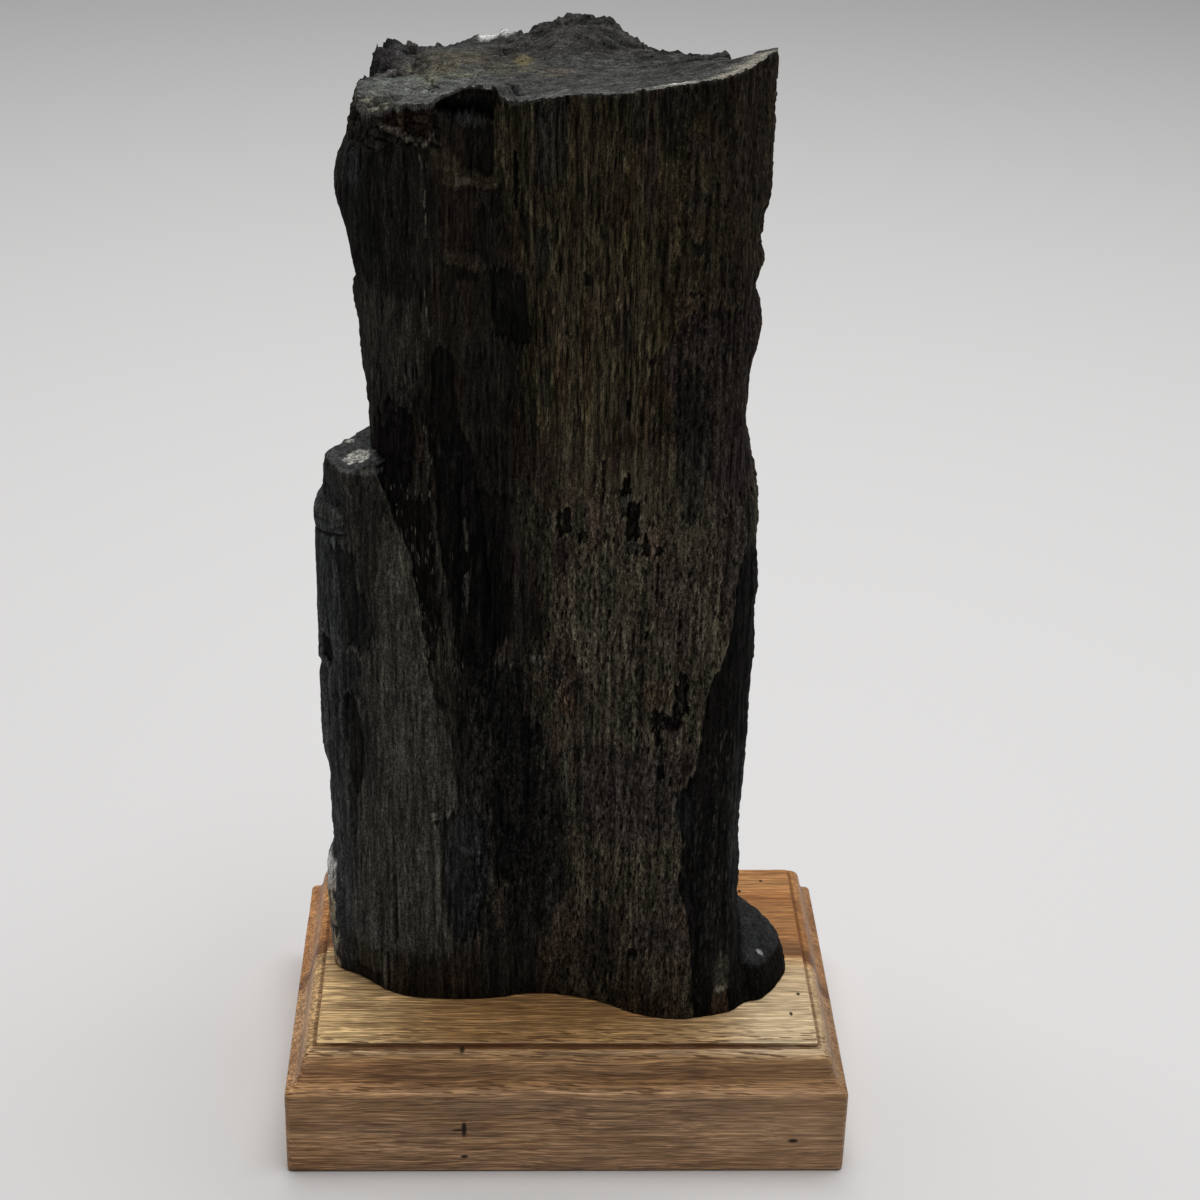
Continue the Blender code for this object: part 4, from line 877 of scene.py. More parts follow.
    # pale rim where the top rolls over the edge: a painted highlight along the edge, widest at the front left, where
    # the lip's pale crust runs down
    wide_rim = 0.9 + 0.9 * smooth(-26, -36, X) * m['front'] * (Y < 2)
    rim = smooth(1.0, 0.35, m['below'] / wide_rim + (0.9 - 0.5 * smooth(-26, -34, X)) * gnoise(X / 1.1, Y / 1.1, 0.0, 54)
                 + 0.5 * gnoise(X / 3.1, Y / 3.1, 0.0, 66))
    col = blend(col, np.array((0.092, 0.092, 0.082)) * one, rim * 0.75 * (0.55 + 0.45 * smooth(-24, -32, X)))
    # ledge and other level breaks are grey
    level = 1 - m['flat']
    low_level = smooth(70, 60, Z)[..., None]
    level_tone = np.array((0.058, 0.059, 0.060)) * (1 - low_level) + np.array((0.0225, 0.0232, 0.0240)) * low_level
    col = blend(col, level_tone * one *
                (1 + 0.35 * gnoise(X / 1.5, Y / 1.5, Z / 1.5, 55)
                 + 0.3 * gnoise(X / 0.8, Y / 0.8, Z / 0.8, 63))[..., None], level * 0.92)
    shelf = smooth(192.5, 194.0, Z) * (1 - smooth(198, 199, Z)) * (X < -45)
    # painted highlight along the ledge's front edge
    edge = smooth(0.9, 0.1, np.abs(Z - 194.1)) * (X < -48) * m['front'] * (1 - level)
    col = blend(col, np.array((0.13, 0.13, 0.125)) * one, edge * 0.5)
    crust = smooth(0.95, 0.72, np.hypot((X + 54.8) / 3.9, (Y + 11.6) / 3.6)
                   + 0.4 * gnoise(X / 1.3, Y / 1.3, Z / 1.2, 56))
    crust = np.maximum(crust, smooth(0.95, 0.70, np.hypot((X + 58.0) / 2.1, (Y + 1.2) / 1.5)
                       + 0.35 * gnoise(X / 1.0, Y / 1.0, Z / 1.0, 57)))
    lines = smooth(0.05, 0.20, np.abs(gnoise(X / 0.9, Y / 0.9, Z / 0.9, 58)))
    crust = crust * shelf * (0.25 + 0.75 * lines)
    white = np.array((0.50, 0.49, 0.44))
    col = blend(col, white * one, crust)
    # white crust down the slab's lower left edge
    ragged = 2.4 * gnoise(X / 1.6, Y / 1.6, Z / 2.6, 73) + 1.6 * gnoise(X / 0.8, Y / 0.8, Z / 1.2, 74)
    bandz = smooth(75, 72.5, Z + 0.8 * ragged * (Y > -4)) * smooth(36, 40, Z)
    edge_x = -64.0 + 0.3 * smooth(60, 70, Z) + 0.6 * smooth(56, 46, Z) + 0.45 * gnoise(X / 1.2, Y / 1.2, Z / 3.4, 59)
    round_side = smooth(-4.5, -1.5, Y)
    strip = smooth(0.35, -0.35, X - edge_x) * smooth(3.2, -3.2, Y + 1.1 * ragged * round_side) * bandz
    gaps = smooth(-0.30, 0.05, gnoise(X / 1.1, Y / 1.1, Z / 4.5, 64) + 0.5 * smooth(62, 68, Z)
                  - 0.6 * smooth(-2.5, 2.5, Y))
    warm = smooth(70, 60, Z)[..., None]
    orange = (smooth(0.0, 0.4, gnoise(X / 0.9, Y / 0.9, Z / 6, 67)) * smooth(66, 58, Z))[..., None]
    crust_tone = np.array((0.56, 0.55, 0.52)) * (1 - warm) + np.array((0.26, 0.24, 0.185)) * warm
    crust_tone = crust_tone * (1 - 0.6 * orange) + np.array((0.36, 0.17, 0.06)) * 0.6 * orange
    col = blend(col, np.array((0.012, 0.011, 0.009)) * one, strip * 0.6)
    col = blend(col, crust_tone * one, strip * gaps * 0.90)
    spot = smooth(1.0, 0.6, np.hypot((X - 53.9) / 1.25, (Y + 16.4) / 0.85)) * smooth(52, 48, Z) * level
    col = blend(col, white * one, spot * 0.6)
    foot_front = m['foot'] * smooth(0.75, 0.35, level) * smooth(54, 50, Z)
    col = blend(col, np.array((0.0062, 0.0050, 0.0042)) * one, foot_front * 0.90)
    # pale smear low on the right of the face
    smear = outline_mask(m['XR'], m['ZR'], ((40.4, 55), (41.6, 57.4), (43.2, 55.6), (44.2, 50), (44.4, 37.8), (40.4, 37.8), (39.8, 47)), 1.6) * m['front']
    hot = smooth(1.0, 0.3, np.hypot((X - 42.1) / 2.5, (Z - 45.2) / 1.5)
                 + 0.4 * gnoise(X / 0.7, Y / 0.7, Z / 0.7, 65)) * m['front']
    below_hot = smooth(45.5, 42.5, Z)[..., None]
    smear_tone = np.array((0.046, 0.046, 0.034)) * (1 - below_hot) + np.array((0.052, 0.033, 0.022)) * below_hot
    col = blend(col, smear_tone * one * (0.5 + 0.6 * tone)[..., None], np.clip(smear * 0.70, 0, 1))
    col = blend(col, np.array((0.24, 0.225, 0.175)) * one, hot * 0.60)
    # ochre stains on the hidden back, like those of the broken top
    stain = m['back'] * smooth(0.25, 0.55, gnoise(X / 9, Y / 9, Z / 26, 60)) * 0.45
    col = blend(col, np.array((0.085, 0.056, 0.028)) * one * tone[..., None], stain)

    # where the painted glints go: bright threads in the valley, on the lobe, the peel and the face
    glint = np.zeros(X.shape)
    for outline, amount in (
            (((-38.8, 275), (-36.8, 275), (-36.4, 226), (-38.4, 226)), 0.9),
            (((-38.4, 212), (-36.6, 212), (-36.2, 183), (-38.0, 182)), 1.0),
            (((-47.0, 190), (-36.5, 186), (-34.5, 140), (-39.0, 137), (-41.2, 158), (-45.0, 178)), 0.75),
            (((-37.0, 168), (-30.6, 168), (-30.4, 140), (-34.0, 137), (-36.5, 148)), 0.7),
            (((-28.6, 182), (-26.8, 182), (-26.6, 151), (-28.4, 151)), 0.5),
            (((-32, 142), (-28, 140), (-25, 118), (-30, 118)), 0.5),
            (((20, 130), (24, 130), (24, 122), (20.6, 122)), 0.5),
            (((-52, 240), (-40, 240), (-40, 214), (-51, 213)), 0.25),
            (((36.5, 128), (44.5, 130), (46, 96), (45, 62), (38, 62)), 0.35),
            (((22, 292), (42, 296), (43, 225), (24, 226)), 0.30)):
        glint = np.maximum(glint, amount * outline_mask(m['XR'], m['ZR'], outline, 1.5) * m['front'])
    depth = 1.0 - 0.2 * m['peel'] - 0.6 * level - 0.30 * m['slab'] * m['front'] - 0.22 * lobe
    depth = depth - 0.35 * m['face'] * smooth(20, 30, X) * smooth(236, 250, Z)
    short = np.clip(m['grainy'] + 0.85 * blotchy + 0.42 * m['slab'] + 0.32 * m['lobe'] + 0.35 * m['peel'] + 0.8 * m['crumb'] + 0.45 * m['back']
                    + 0.45 * m['front'] * (1 - m['face']) * (1 - smooth(190, 200, Z)), 0, 1)
    guide = np.stack((short, glint, np.clip(depth, 0, 1)), axis=-1)
    return np.clip(col, 0.0008, 1), guide


# ------------------------------------------------------------------ stone top
def top_height(x, y, ring, smooth_rim):
    """Height of the broken top, from its rim inwards."""
    d = ring[:, :2] - CAP_CENTRE
    angle = np.arctan2(d[:, 1], d[:, 0])
    order = np.argsort(angle)
    a = angle[order]
    a = np.concatenate((a[-3:] - 2 * math.pi, a, a[:3] + 2 * math.pi))

    def read(values, at):
        v = values[order]
        v = np.concatenate((v[-3:], v, v[:3]))
        return np.interp(at, a, v)

    dx, dy = x - CAP_CENTRE[0], y - CAP_CENTRE[1]
    at = np.arctan2(dy, dx)
    r = np.hypot(dx, dy)
    edge = read(np.hypot(d[:, 0], d[:, 1]), at)
    s = np.clip(r / edge, 0, 1)
    calm = read(smooth_rim, at)
    z = CAP_HEIGHT + (calm - CAP_HEIGHT) * s ** CAP_DISH
    inside = np.maximum(edge - r, 0)
    z = z + (read(ring[:, 2], at) - calm) * smooth(2.4, 0.2, inside)
    return z, inside


def top_relief(x, y):
    """Fracture of the top: streaks along X, blocks at the ridge and knob."""
    ridge = smooth(9.0, 13.0, y + 0.10 * np.abs(x) + 1.2 * gnoise(x / 7, y / 7, 0.5, 80)) * \
        smooth(-27, -19, x)
    knob = smooth(-36, -40, x) * smooth(2.0, 5.0, y)
    d1, d2, who = cells(x / 4.4, y / 2.6, 0.5, 81)
    e1, e2, who2 = cells(x / 2.2, y / 1.2, 0.5, 82)
    streak = gnoise(x / 8.5, y / 1.05, 0.3, 83)
    streak2 = gnoise(x / 3.6, y / 0.62, 0.3, 84)
    d = 0.26 * fnoise(x / 11, y / 5, 0.7, 85) + 0.11 * streak + 0.08 * streak2
    d = d + 0.12 * fnoise(x / 2.2, y / 1.5, 0.2, 86) + 0.12 * fnoise(x / 4.6, y / 2.6, 0.2, 89)
    blocky = np.clip(ridge + knob, 0, 1)
    d = d + blocky * (1.25 * (who - 0.5) + 0.55 * (who2 - 0.5)) + knob * 0.8 * (who - 0.5)
    d = d + (1 - blocky) * (0.24 * (who2 - 0.5) + 0.20 * (who - 0.5))
    # a fold and cracks between the knob and the pale lip at the front left
    fold = 7.6 - 0.55 * (x + 50) + 0.8 * gnoise(x / 3, y / 3, 0.1, 87)
    at_fold = smooth(-54, -51, x) * smooth(-40, -43.5, x)
    d = d + 0.55 * at_fold * smooth(-0.5, 0.5, y - fold) - 0.7 * at_fold * smooth(
        0.7, 0.1, np.abs(y - fold))
    crack = smooth(0.45, 0.1, np.abs(y + 4.6 + 0.12 * (x + 38) + 0.3 * gnoise(
        x / 2, 0.1, 0.1, 88))) * smooth(-41.5, -40, x) * smooth(-33, -35, x)
    d = d - 0.7 * crack
    d = d - 1.5 * smooth(1.0, 0.2, np.hypot((x - 37.5) / 4.5, (y - 2.5) / 6.0))
    hole = smooth(1.0, 0.5, np.hypot((x + 0.8) / 1.3, (y + 1.2) / 2.0))
    d = d - 1.2 * hole
    # cracks: behind the front rim, and one running down from the knob
    behind_rim = smooth(1.1, 0.4, np.abs(y + 11.4 + 0.95 * (x + 20) + 0.8 * gnoise(
        x / 1.6, 0.3, 0.1, 104))) * smooth(-22.5, -20.5, x) * smooth(-13.5, -15.5, x)
    d = d - 1.3 * behind_rim
    run = (x + 39.9) / 5.1
    across = np.abs(y - (5.6 - 9.4 * run) + 1.1 * gnoise(x / 1.5, y / 2.5, 0.1, 108))
    diag = smooth(0.9, 0.25, across) * smooth(-0.35, 0.0, run) * smooth(1.25, 1.0, run)
    shelf = smooth(0.8, 0.2, np.abs(y - 3.2 - 0.9 * (x + 46) / 6 + 0.6 * gnoise(x / 1.5, 0.4, 0.2, 109))) * \
        smooth(-47, -45.5, x) * smooth(-39, -40.5, x)
    d = d - 0.9 * np.maximum(diag, shelf) + 0.5 * smooth(0.9, 1.6, across) * smooth(3.0, 1.8, across) * diag
    crack = np.clip(crack + behind_rim + diag + shelf, 0, 1)
    # crust of loose lumps over the front left lip
    g1, g2, gw = cells(x / 2.5, y / 1.7, 0.5, 105)
    crust = smooth(-42.5, -46.5, x + 2.2 * gnoise(x / 4, y / 4, 0.2, 106)) * smooth(
        -4.0, -8.0, y + 0.35 * (x + 50) + 1.6 * gnoise(x / 2.5, y / 2.5, 0.3, 107))
    d = d + crust * (1.6 * (gw - 0.6) - 0.7 * smooth(0.18, 0.03, g2 - g1))
    return d, dict(ridge=ridge, knob=knob, blocky=blocky, streak=streak,
                   streak2=streak2, who=who, who2=who2, crack=crack, hole=hole,
                   crust=crust, lump=gw, seam=smooth(0.22, 0.05, g2 - g1),
                   fold=at_fold * smooth(0.9, 0.2, np.abs(y - fold)))


def spot(x, y, cx, cy, rx, ry, seed, ragged=0.3):
    q = np.hypot((x - cx) / rx, (y - cy) / ry)
    return smooth(1.05, 0.6, q + ragged * gnoise(x / 1.8, y / 0.9, 0.4, seed))


def top_colour(x, y, inside, m):
    """Linear colour of the broken top."""
    t = np.clip(0.46 + 0.34 * m['streak'] + 0.28 * m['streak2'] + 0.30 * (m['who2'] - 0.5)
                + 0.30 * gnoise(x / 9, y / 5, 0.9, 90) + 0.30 * fnoise(x / 2.2, y / 1.5, 0.2, 86), 0.0, 1)
    one = np.ones(x.shape + (1,))
    grey_dark, grey = np.array((0.026, 0.027, 0.027)), np.array((0.092, 0.090, 0.084))
    col = blend(grey_dark * one, grey * one, t)
    lip = smooth(-18, -30, x) * smooth(5, -1, y + 0.1 * x) * (1 - m['knob'])
    lip_col = blend(np.array((0.062, 0.065, 0.060)) * one, np.array((0.140, 0.144, 0.130)) * one, t)
    col = blend(col, lip_col, lip)
    ochre = np.clip(spot(x, y, -14.0, 9.4, 2.7, 3.4, 91, 0.35)
                    + 0.30 * spot(x, y, -7.5, -0.6, 5.0, 1.8, 93, 0.5), 0, 1)
    rosy = np.clip(0.8 * spot(x, y, -5.5, 2.6, 4.2, 2.2, 94, 0.5) + 0.4 * spot(x, y, -22, 9, 7, 3.4, 92, 0.5), 0, 1)
    cream = np.clip(0.9 * spot(x, y, -36.2, -0.6, 2.6, 3.4, 112, 0.9) + 0.7 * spot(x, y, -40.2, 7.2, 2.2, 2.6, 113, 0.9)
                    + 0.9 * spot(x, y, -28.5, 0.8, 4.8, 1.5, 114, 0.6), 0, 1)
    tan = np.clip(0.9 * spot(x, y, -26, 12, 15, 5.5, 95, 0.5)
                  + 0.9 * spot(x, y, -38, 6, 9, 3.6, 96, 0.5)
                  + 0.6 * spot(x, y, -16, 4, 12, 3.4, 97, 0.5), 0, 1)
    green = spot(x, y, -36, 3, 11, 5.0, 103, 0.6)
    col = blend(col, np.array((0.074, 0.078, 0.060)) * one * (0.45 + 1.1 * t)[..., None], green * 0.7)
    col = blend(col, np.array((0.084, 0.074, 0.053)) * one * (0.45 + 1.1 * t)[..., None], tan * 0.85)
    col = blend(col, np.array((0.118, 0.098, 0.080)) * one, rosy * (0.3 + 0.6 * t))
    col = blend(col, np.array((0.158, 0.134, 0.066)) * one, ochre * (0.30 + 0.7 * t))
    col = blend(col, np.array((0.190, 0.188, 0.135)) * one * (0.5 + 0.8 * t)[..., None], cream * 0.62)
    dark = blend(np.array((0.014, 0.013, 0.0125)) * one, np.array((0.064, 0.062, 0.058)) * one, t)
    block = np.clip(smooth(0.40, 0.95, m['who']) * (0.35 + 0.9 * t) * smooth(-56, -48, x), 0, 1)
    dark = blend(dark, blend(np.array((0.0070, 0.0052, 0.0066)) * one, np.array((0.124, 0.111, 0.107)) * one, block), m['knob'])
    col = blend(col, dark, np.clip(m['ridge'] * 0.82 + m['knob'] * (0.80 - 0.36 * smooth(-47, -43, x)), 0, 1))
    right = smooth(8, 22, x) * smooth(-14, -6, y)
    col = col * (1 - 0.15 * right)[..., None]
    # painted shade in the cracks, the hole and the fold
    col = col * (1 - 0.85 * np.clip(m['crack'] + m['hole'] + 0.7 * m['fold'], 0, 1))[..., None]
    # rims: white at the back; a painted highlight along the front rim and at the front right up to the horn
    white = np.array((0.62, 0.62, 0.60))
    back_rim = smooth(2.6, 1.5, inside + 0.6 * gnoise(x / 1.8, y / 1.2, 0.4, 98)) * smooth(
        -25.6, -24.4, x) * smooth(-16.0, -17.6, x) * smooth(10, 14, y)
    col = blend(col, white * one, back_rim * (0.55 + 0.45 * t))
    rim_highlight_bone = np.array((0.36, 0.35, 0.29))
    front_highlight = smooth(8.0, 1.5, inside + 1.2 * gnoise(x / 5, y / 2, 0.4, 115)) * smooth(-5, -10, y) * smooth(-16, -6, x) * smooth(24, 12, x)
    col = blend(col, np.array((0.112, 0.118, 0.116)) * one * (0.5 + 0.9 * t)[..., None], front_highlight * 0.55)
    front_rim_highlight = smooth(4.6, 2.0, inside) * smooth(0.0, 0.8, inside) * smooth(10, 17, x) * smooth(33, 27, x) * smooth(-12, -16, y)
    shine = spot(x, y, 20.6, -23.4, 3.4, 1.5, 99, 0.3)
    col = blend(col, rim_highlight_bone * one, front_rim_highlight * 0.55 * (0.4 + 0.8 * t).clip(0, 1))
    col = blend(col, white * one, shine * 0.7)
    horn = smooth(8.5, 3.0, inside + 1.5 * gnoise(x / 4, y / 4, 0.6, 116)) * smooth(27, 32, x) * smooth(1.5, -2.5, y)
    horn_tone = blend(np.array((0.110, 0.106, 0.094)) * one, np.array((0.300, 0.275, 0.225)) * one,
                      np.clip(0.25 + 0.75 * smooth(5, 1.5, inside) + 0.5 * (t - 0.5), 0, 1))
    col = blend(col, horn_tone, horn * 0.85)
    # painted highlight on the rim's edge over the front half
    rim_edge_highlight = smooth(1.3, 0.1, inside) * smooth(0, -8, y)
    col = blend(col, np.array((0.16, 0.16, 0.145)) * one, rim_edge_highlight * 0.5)
    lumps = blend(np.array((0.010, 0.0090, 0.0075)) * one, np.array((0.165, 0.155, 0.120)) * one,
                  np.clip((m['lump'] - 0.35) * 1.9 + 0.7 * (t - 0.5), 0, 1))
    lumps = lumps * (1 - 0.85 * m['seam'])[..., None]
    col = blend(col, lumps, m['crust'] * 0.88)
    fleck = 0.8 * spot(x, y, -46.5, 6.6, 2.2, 1.2, 100, 0.5) * m['knob']
    col = blend(col, np.array((0.130, 0.118, 0.112)) * one, fleck * (0.3 + 0.7 * t))
    return np.clip(col, 0.003, 1)


# ------------------------------------------------------------------ mesh tools
def mesh_object(name, verts_mm, loops, starts, smooth_angle=None):
    mesh = bpy.data.meshes.new(name)
    verts = np.asarray(verts_mm, dtype=np.float64) * MM
    mesh.vertices.add(len(verts))
    mesh.vertices.foreach_set("co", verts.astype(np.float32).ravel())
    mesh.loops.add(len(loops))
    mesh.loops.foreach_set("vertex_index", np.asarray(loops, dtype=np.int32))
    mesh.polygons.add(len(starts))
    mesh.polygons.foreach_set("loop_start", np.asarray(starts, dtype=np.int32))
    mesh.update(calc_edges=True)
    mesh.validate()
    mesh.shade_smooth()
    if smooth_angle is not None:
        mesh.set_sharp_from_angle(angle=math.radians(smooth_angle))
    obj = bpy.data.objects.new(name, mesh)
    bpy.context.scene.collection.objects.link(obj)
    return obj


def add_uv(obj, uv):
    layer = obj.data.uv_layers.new(name="OFBake")
    layer.data.foreach_set("uv", np.asarray(uv, dtype=np.float32).ravel())


def add_attribute(obj, name, values):
    values = np.asarray(values, dtype=np.float32)
    if values.ndim == 2:
        attr = obj.data.attributes.new(name, 'FLOAT_COLOR', 'POINT')
        rgba = np.ones((len(values), 4), np.float32)
        rgba[:, :3] = values
        attr.data.foreach_set("color", rgba.ravel())
    else:
        attr = obj.data.attributes.new(name, 'FLOAT', 'POINT')
        attr.data.foreach_set("value", values)


def wall_piece(name, W, normals, colours, guide, c0, c1):
    """One sheet of the wall, from column c0 to column c1."""
    idx = np.arange(c0, c1 + 1) % W.shape[1]
    w = W[:, idx]
    rows, m = w.shape[:2]
    verts = w.reshape(-1, 3)
    r, c = np.meshgrid(np.arange(rows - 1), np.arange(m - 1), indexing='ij')
    quads = np.stack((r * m + c, r * m + c + 1, (r + 1) * m + c + 1,
                      (r + 1) * m + c), axis=-1).reshape(-1, 4)
    piece = mesh_object(name, verts, quads.ravel(), np.arange(len(quads)) * 4)
    along = np.concatenate(([0], np.cumsum(np.linalg.norm(np.diff(
        w[:, :, :2].mean(axis=0), axis=0), axis=1))))
    uu = 0.004 + 0.992 * along / along[-1]
    vv = 0.004 + 0.992 * np.arange(rows) / (rows - 1)
    ur = np.stack((uu[c], uu[c + 1], uu[c + 1], uu[c]), axis=-1).reshape(-1)
    vr = np.stack((vv[r], vv[r], vv[r + 1], vv[r + 1]), axis=-1).reshape(-1)
    add_uv(piece, np.column_stack((ur, vr)))
    add_attribute(piece, "tone", colours[:, idx].reshape(-1, 3))
    add_attribute(piece, "guide", guide[:, idx].reshape(-1, 3))
    piece.data.normals_split_custom_set_from_vertices(
        normals[:, idx].reshape(-1, 3).tolist())
    print(name, "triangles", 2 * len(quads))
    return piece


def facing(verts, tris, up):
    """Turns the triangles so that they all face up, or all face down."""
    a, b, d = verts[tris[:, 0]], verts[tris[:, 1]], verts[tris[:, 2]]
    area = (b[:, 0] - a[:, 0]) * (d[:, 1] - a[:, 1]) - (b[:, 1] - a[:, 1]) * (d[:, 0] - a[:, 0])
    wrong = area < 0 if up else area > 0
    tris[wrong] = tris[wrong][:, ::-1]
    return tris


def ends_piece(W, high, u):
    """The broken top and the sawn underside."""
    n = W.shape[1]
    rim = W[-1]
    smooth_rim = rim_line(u)
    smooth_rim = np.minimum(smooth_rim, high[2] - 0.4)
    step = TOP_STEP
    gx, gy = np.meshgrid(np.arange(-62, 52, step), np.arange(-30, 34, step * 0.87))
    gx = gx + (np.arange(gx.shape[0])[:, None] % 2) * step / 2
    flat = np.column_stack((gx.ravel(), gy.ravel()))
    rng = np.random.default_rng(5)
    flat = flat + rng.uniform(-0.25, 0.25, flat.shape) * step
    x, y = flat[:, 0], flat[:, 1]
    x1, y1 = rim[:, 0], rim[:, 1]
    x2, y2 = np.roll(x1, -1), np.roll(y1, -1)
    inside = np.zeros(len(flat), bool)
    near = np.full(len(flat), 9e9)
    for k in range(n):
        if (y1[k] > y.max()) or y1[k] == y2[k]:
            continue
        span = (y1[k] > y) != (y2[k] > y)
        inside ^= span & (x < (x2[k] - x1[k]) * (y - y1[k]) / (y2[k] - y1[k]) + x1[k])
        near = np.minimum(near, (x - x1[k]) ** 2 + (y - y1[k]) ** 2)
    inner = flat[inside & (near > (0.6 * step) ** 2)]
    points = [Vector((float(a), float(b))) for a, b in rim[:, :2]] + \
        [Vector((float(a), float(b))) for a, b in inner]
    out = delaunay_2d_cdt(points, [], [list(range(n))], 1, 1e-5)
    xy = np.array([(p.x, p.y) for p in out[0]])
    on_rim = np.array([bool(s) and min(s) < n for s in out[3]])
    source = np.array([min(s) if s else -1 for s in out[3]])
    z, gap = top_height(xy[:, 0], xy[:, 1], rim, smooth_rim)
    relief, m = top_relief(xy[:, 0], xy[:, 1])
    z = z + relief * smooth(0.0, 1.5, gap)
    z[on_rim] = rim[source[on_rim], 2]
    gap[on_rim] = 0
    z = np.minimum(z, high[2])
    verts = np.column_stack((xy, z))
    tris = facing(verts, np.array([t for t in out[2] if len(t) == 3]), True)
    colours = top_colour(xy[:, 0], xy[:, 1], gap, m)

    foot_ring = W[0]
    out = delaunay_2d_cdt([Vector((float(p[0]), float(p[1]))) for p in foot_ring],
                          [], [list(range(n))], 1, 1e-5)
    fxy = np.array([(p.x, p.y) for p in out[0]])
    foot = np.column_stack((fxy, np.full(len(fxy), STONE_BOTTOM)))
    ftris = facing(foot, np.array([t for t in out[2] if len(t) == 3]), False)
    allv = np.vstack((verts, foot))
    allt = np.vstack((tris, ftris + len(verts)))
    piece = mesh_object("stone_ends", allv, allt.ravel(), np.arange(len(allt)) * 3, 50)
    co = allv[allt.ravel()]
    is_foot = np.repeat(np.arange(len(allt)) >= len(tris), 3)
    uv = np.column_stack(((co[:, 0] + 64) / 122, (co[:, 1] + 33) / 128 + 0.49))
    uv[is_foot] = np.column_stack(((co[is_foot, 0] + 70) / 145, (co[is_foot, 1] + 36) / 150))
    add_uv(piece, uv)
    add_attribute(piece, "tone", np.vstack((colours, np.full((len(foot), 3), 0.03))))
    guide = np.zeros((len(allv), 3))
    guide[:, 2] = 1.0
    add_attribute(piece, "guide", guide)
    print("stone_ends triangles", len(allt))
    return piece


def build_stone():
    u = column_places()
    n = len(u)
    P = macro_wall(u)
    normal = grid_normals(P)
    relief, m = wall_relief(P, u)
    W = P + normal * relief[..., None]
    W[0, :, 2] = STONE_BOTTOM
    W[1:, :, 2] = np.maximum(W[1:, :, 2], STONE_BOTTOM + 0.02)
    low, high = (np.array(c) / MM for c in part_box("petrified_wood"))
    W = np.clip(W, low, high)
    colours, guide = wall_colour(P, W, u, m)
    normals = grid_normals(W)
    at = [int(np.searchsorted(u, k)) for k in (3.5, 9.0, 17.2, 25.2)]
    pieces = [wall_piece("stone_valley", W, normals, colours, guide, at[0], at[1]),
              wall_piece("stone_face", W, normals, colours, guide, at[1], at[2]),
              wall_piece("stone_back", W, normals, colours, guide, at[2], at[3]),
              wall_piece("stone_slab", W, normals, colours, guide, at[3], at[0] + n),
              ends_piece(W, high, u)]
    return pieces


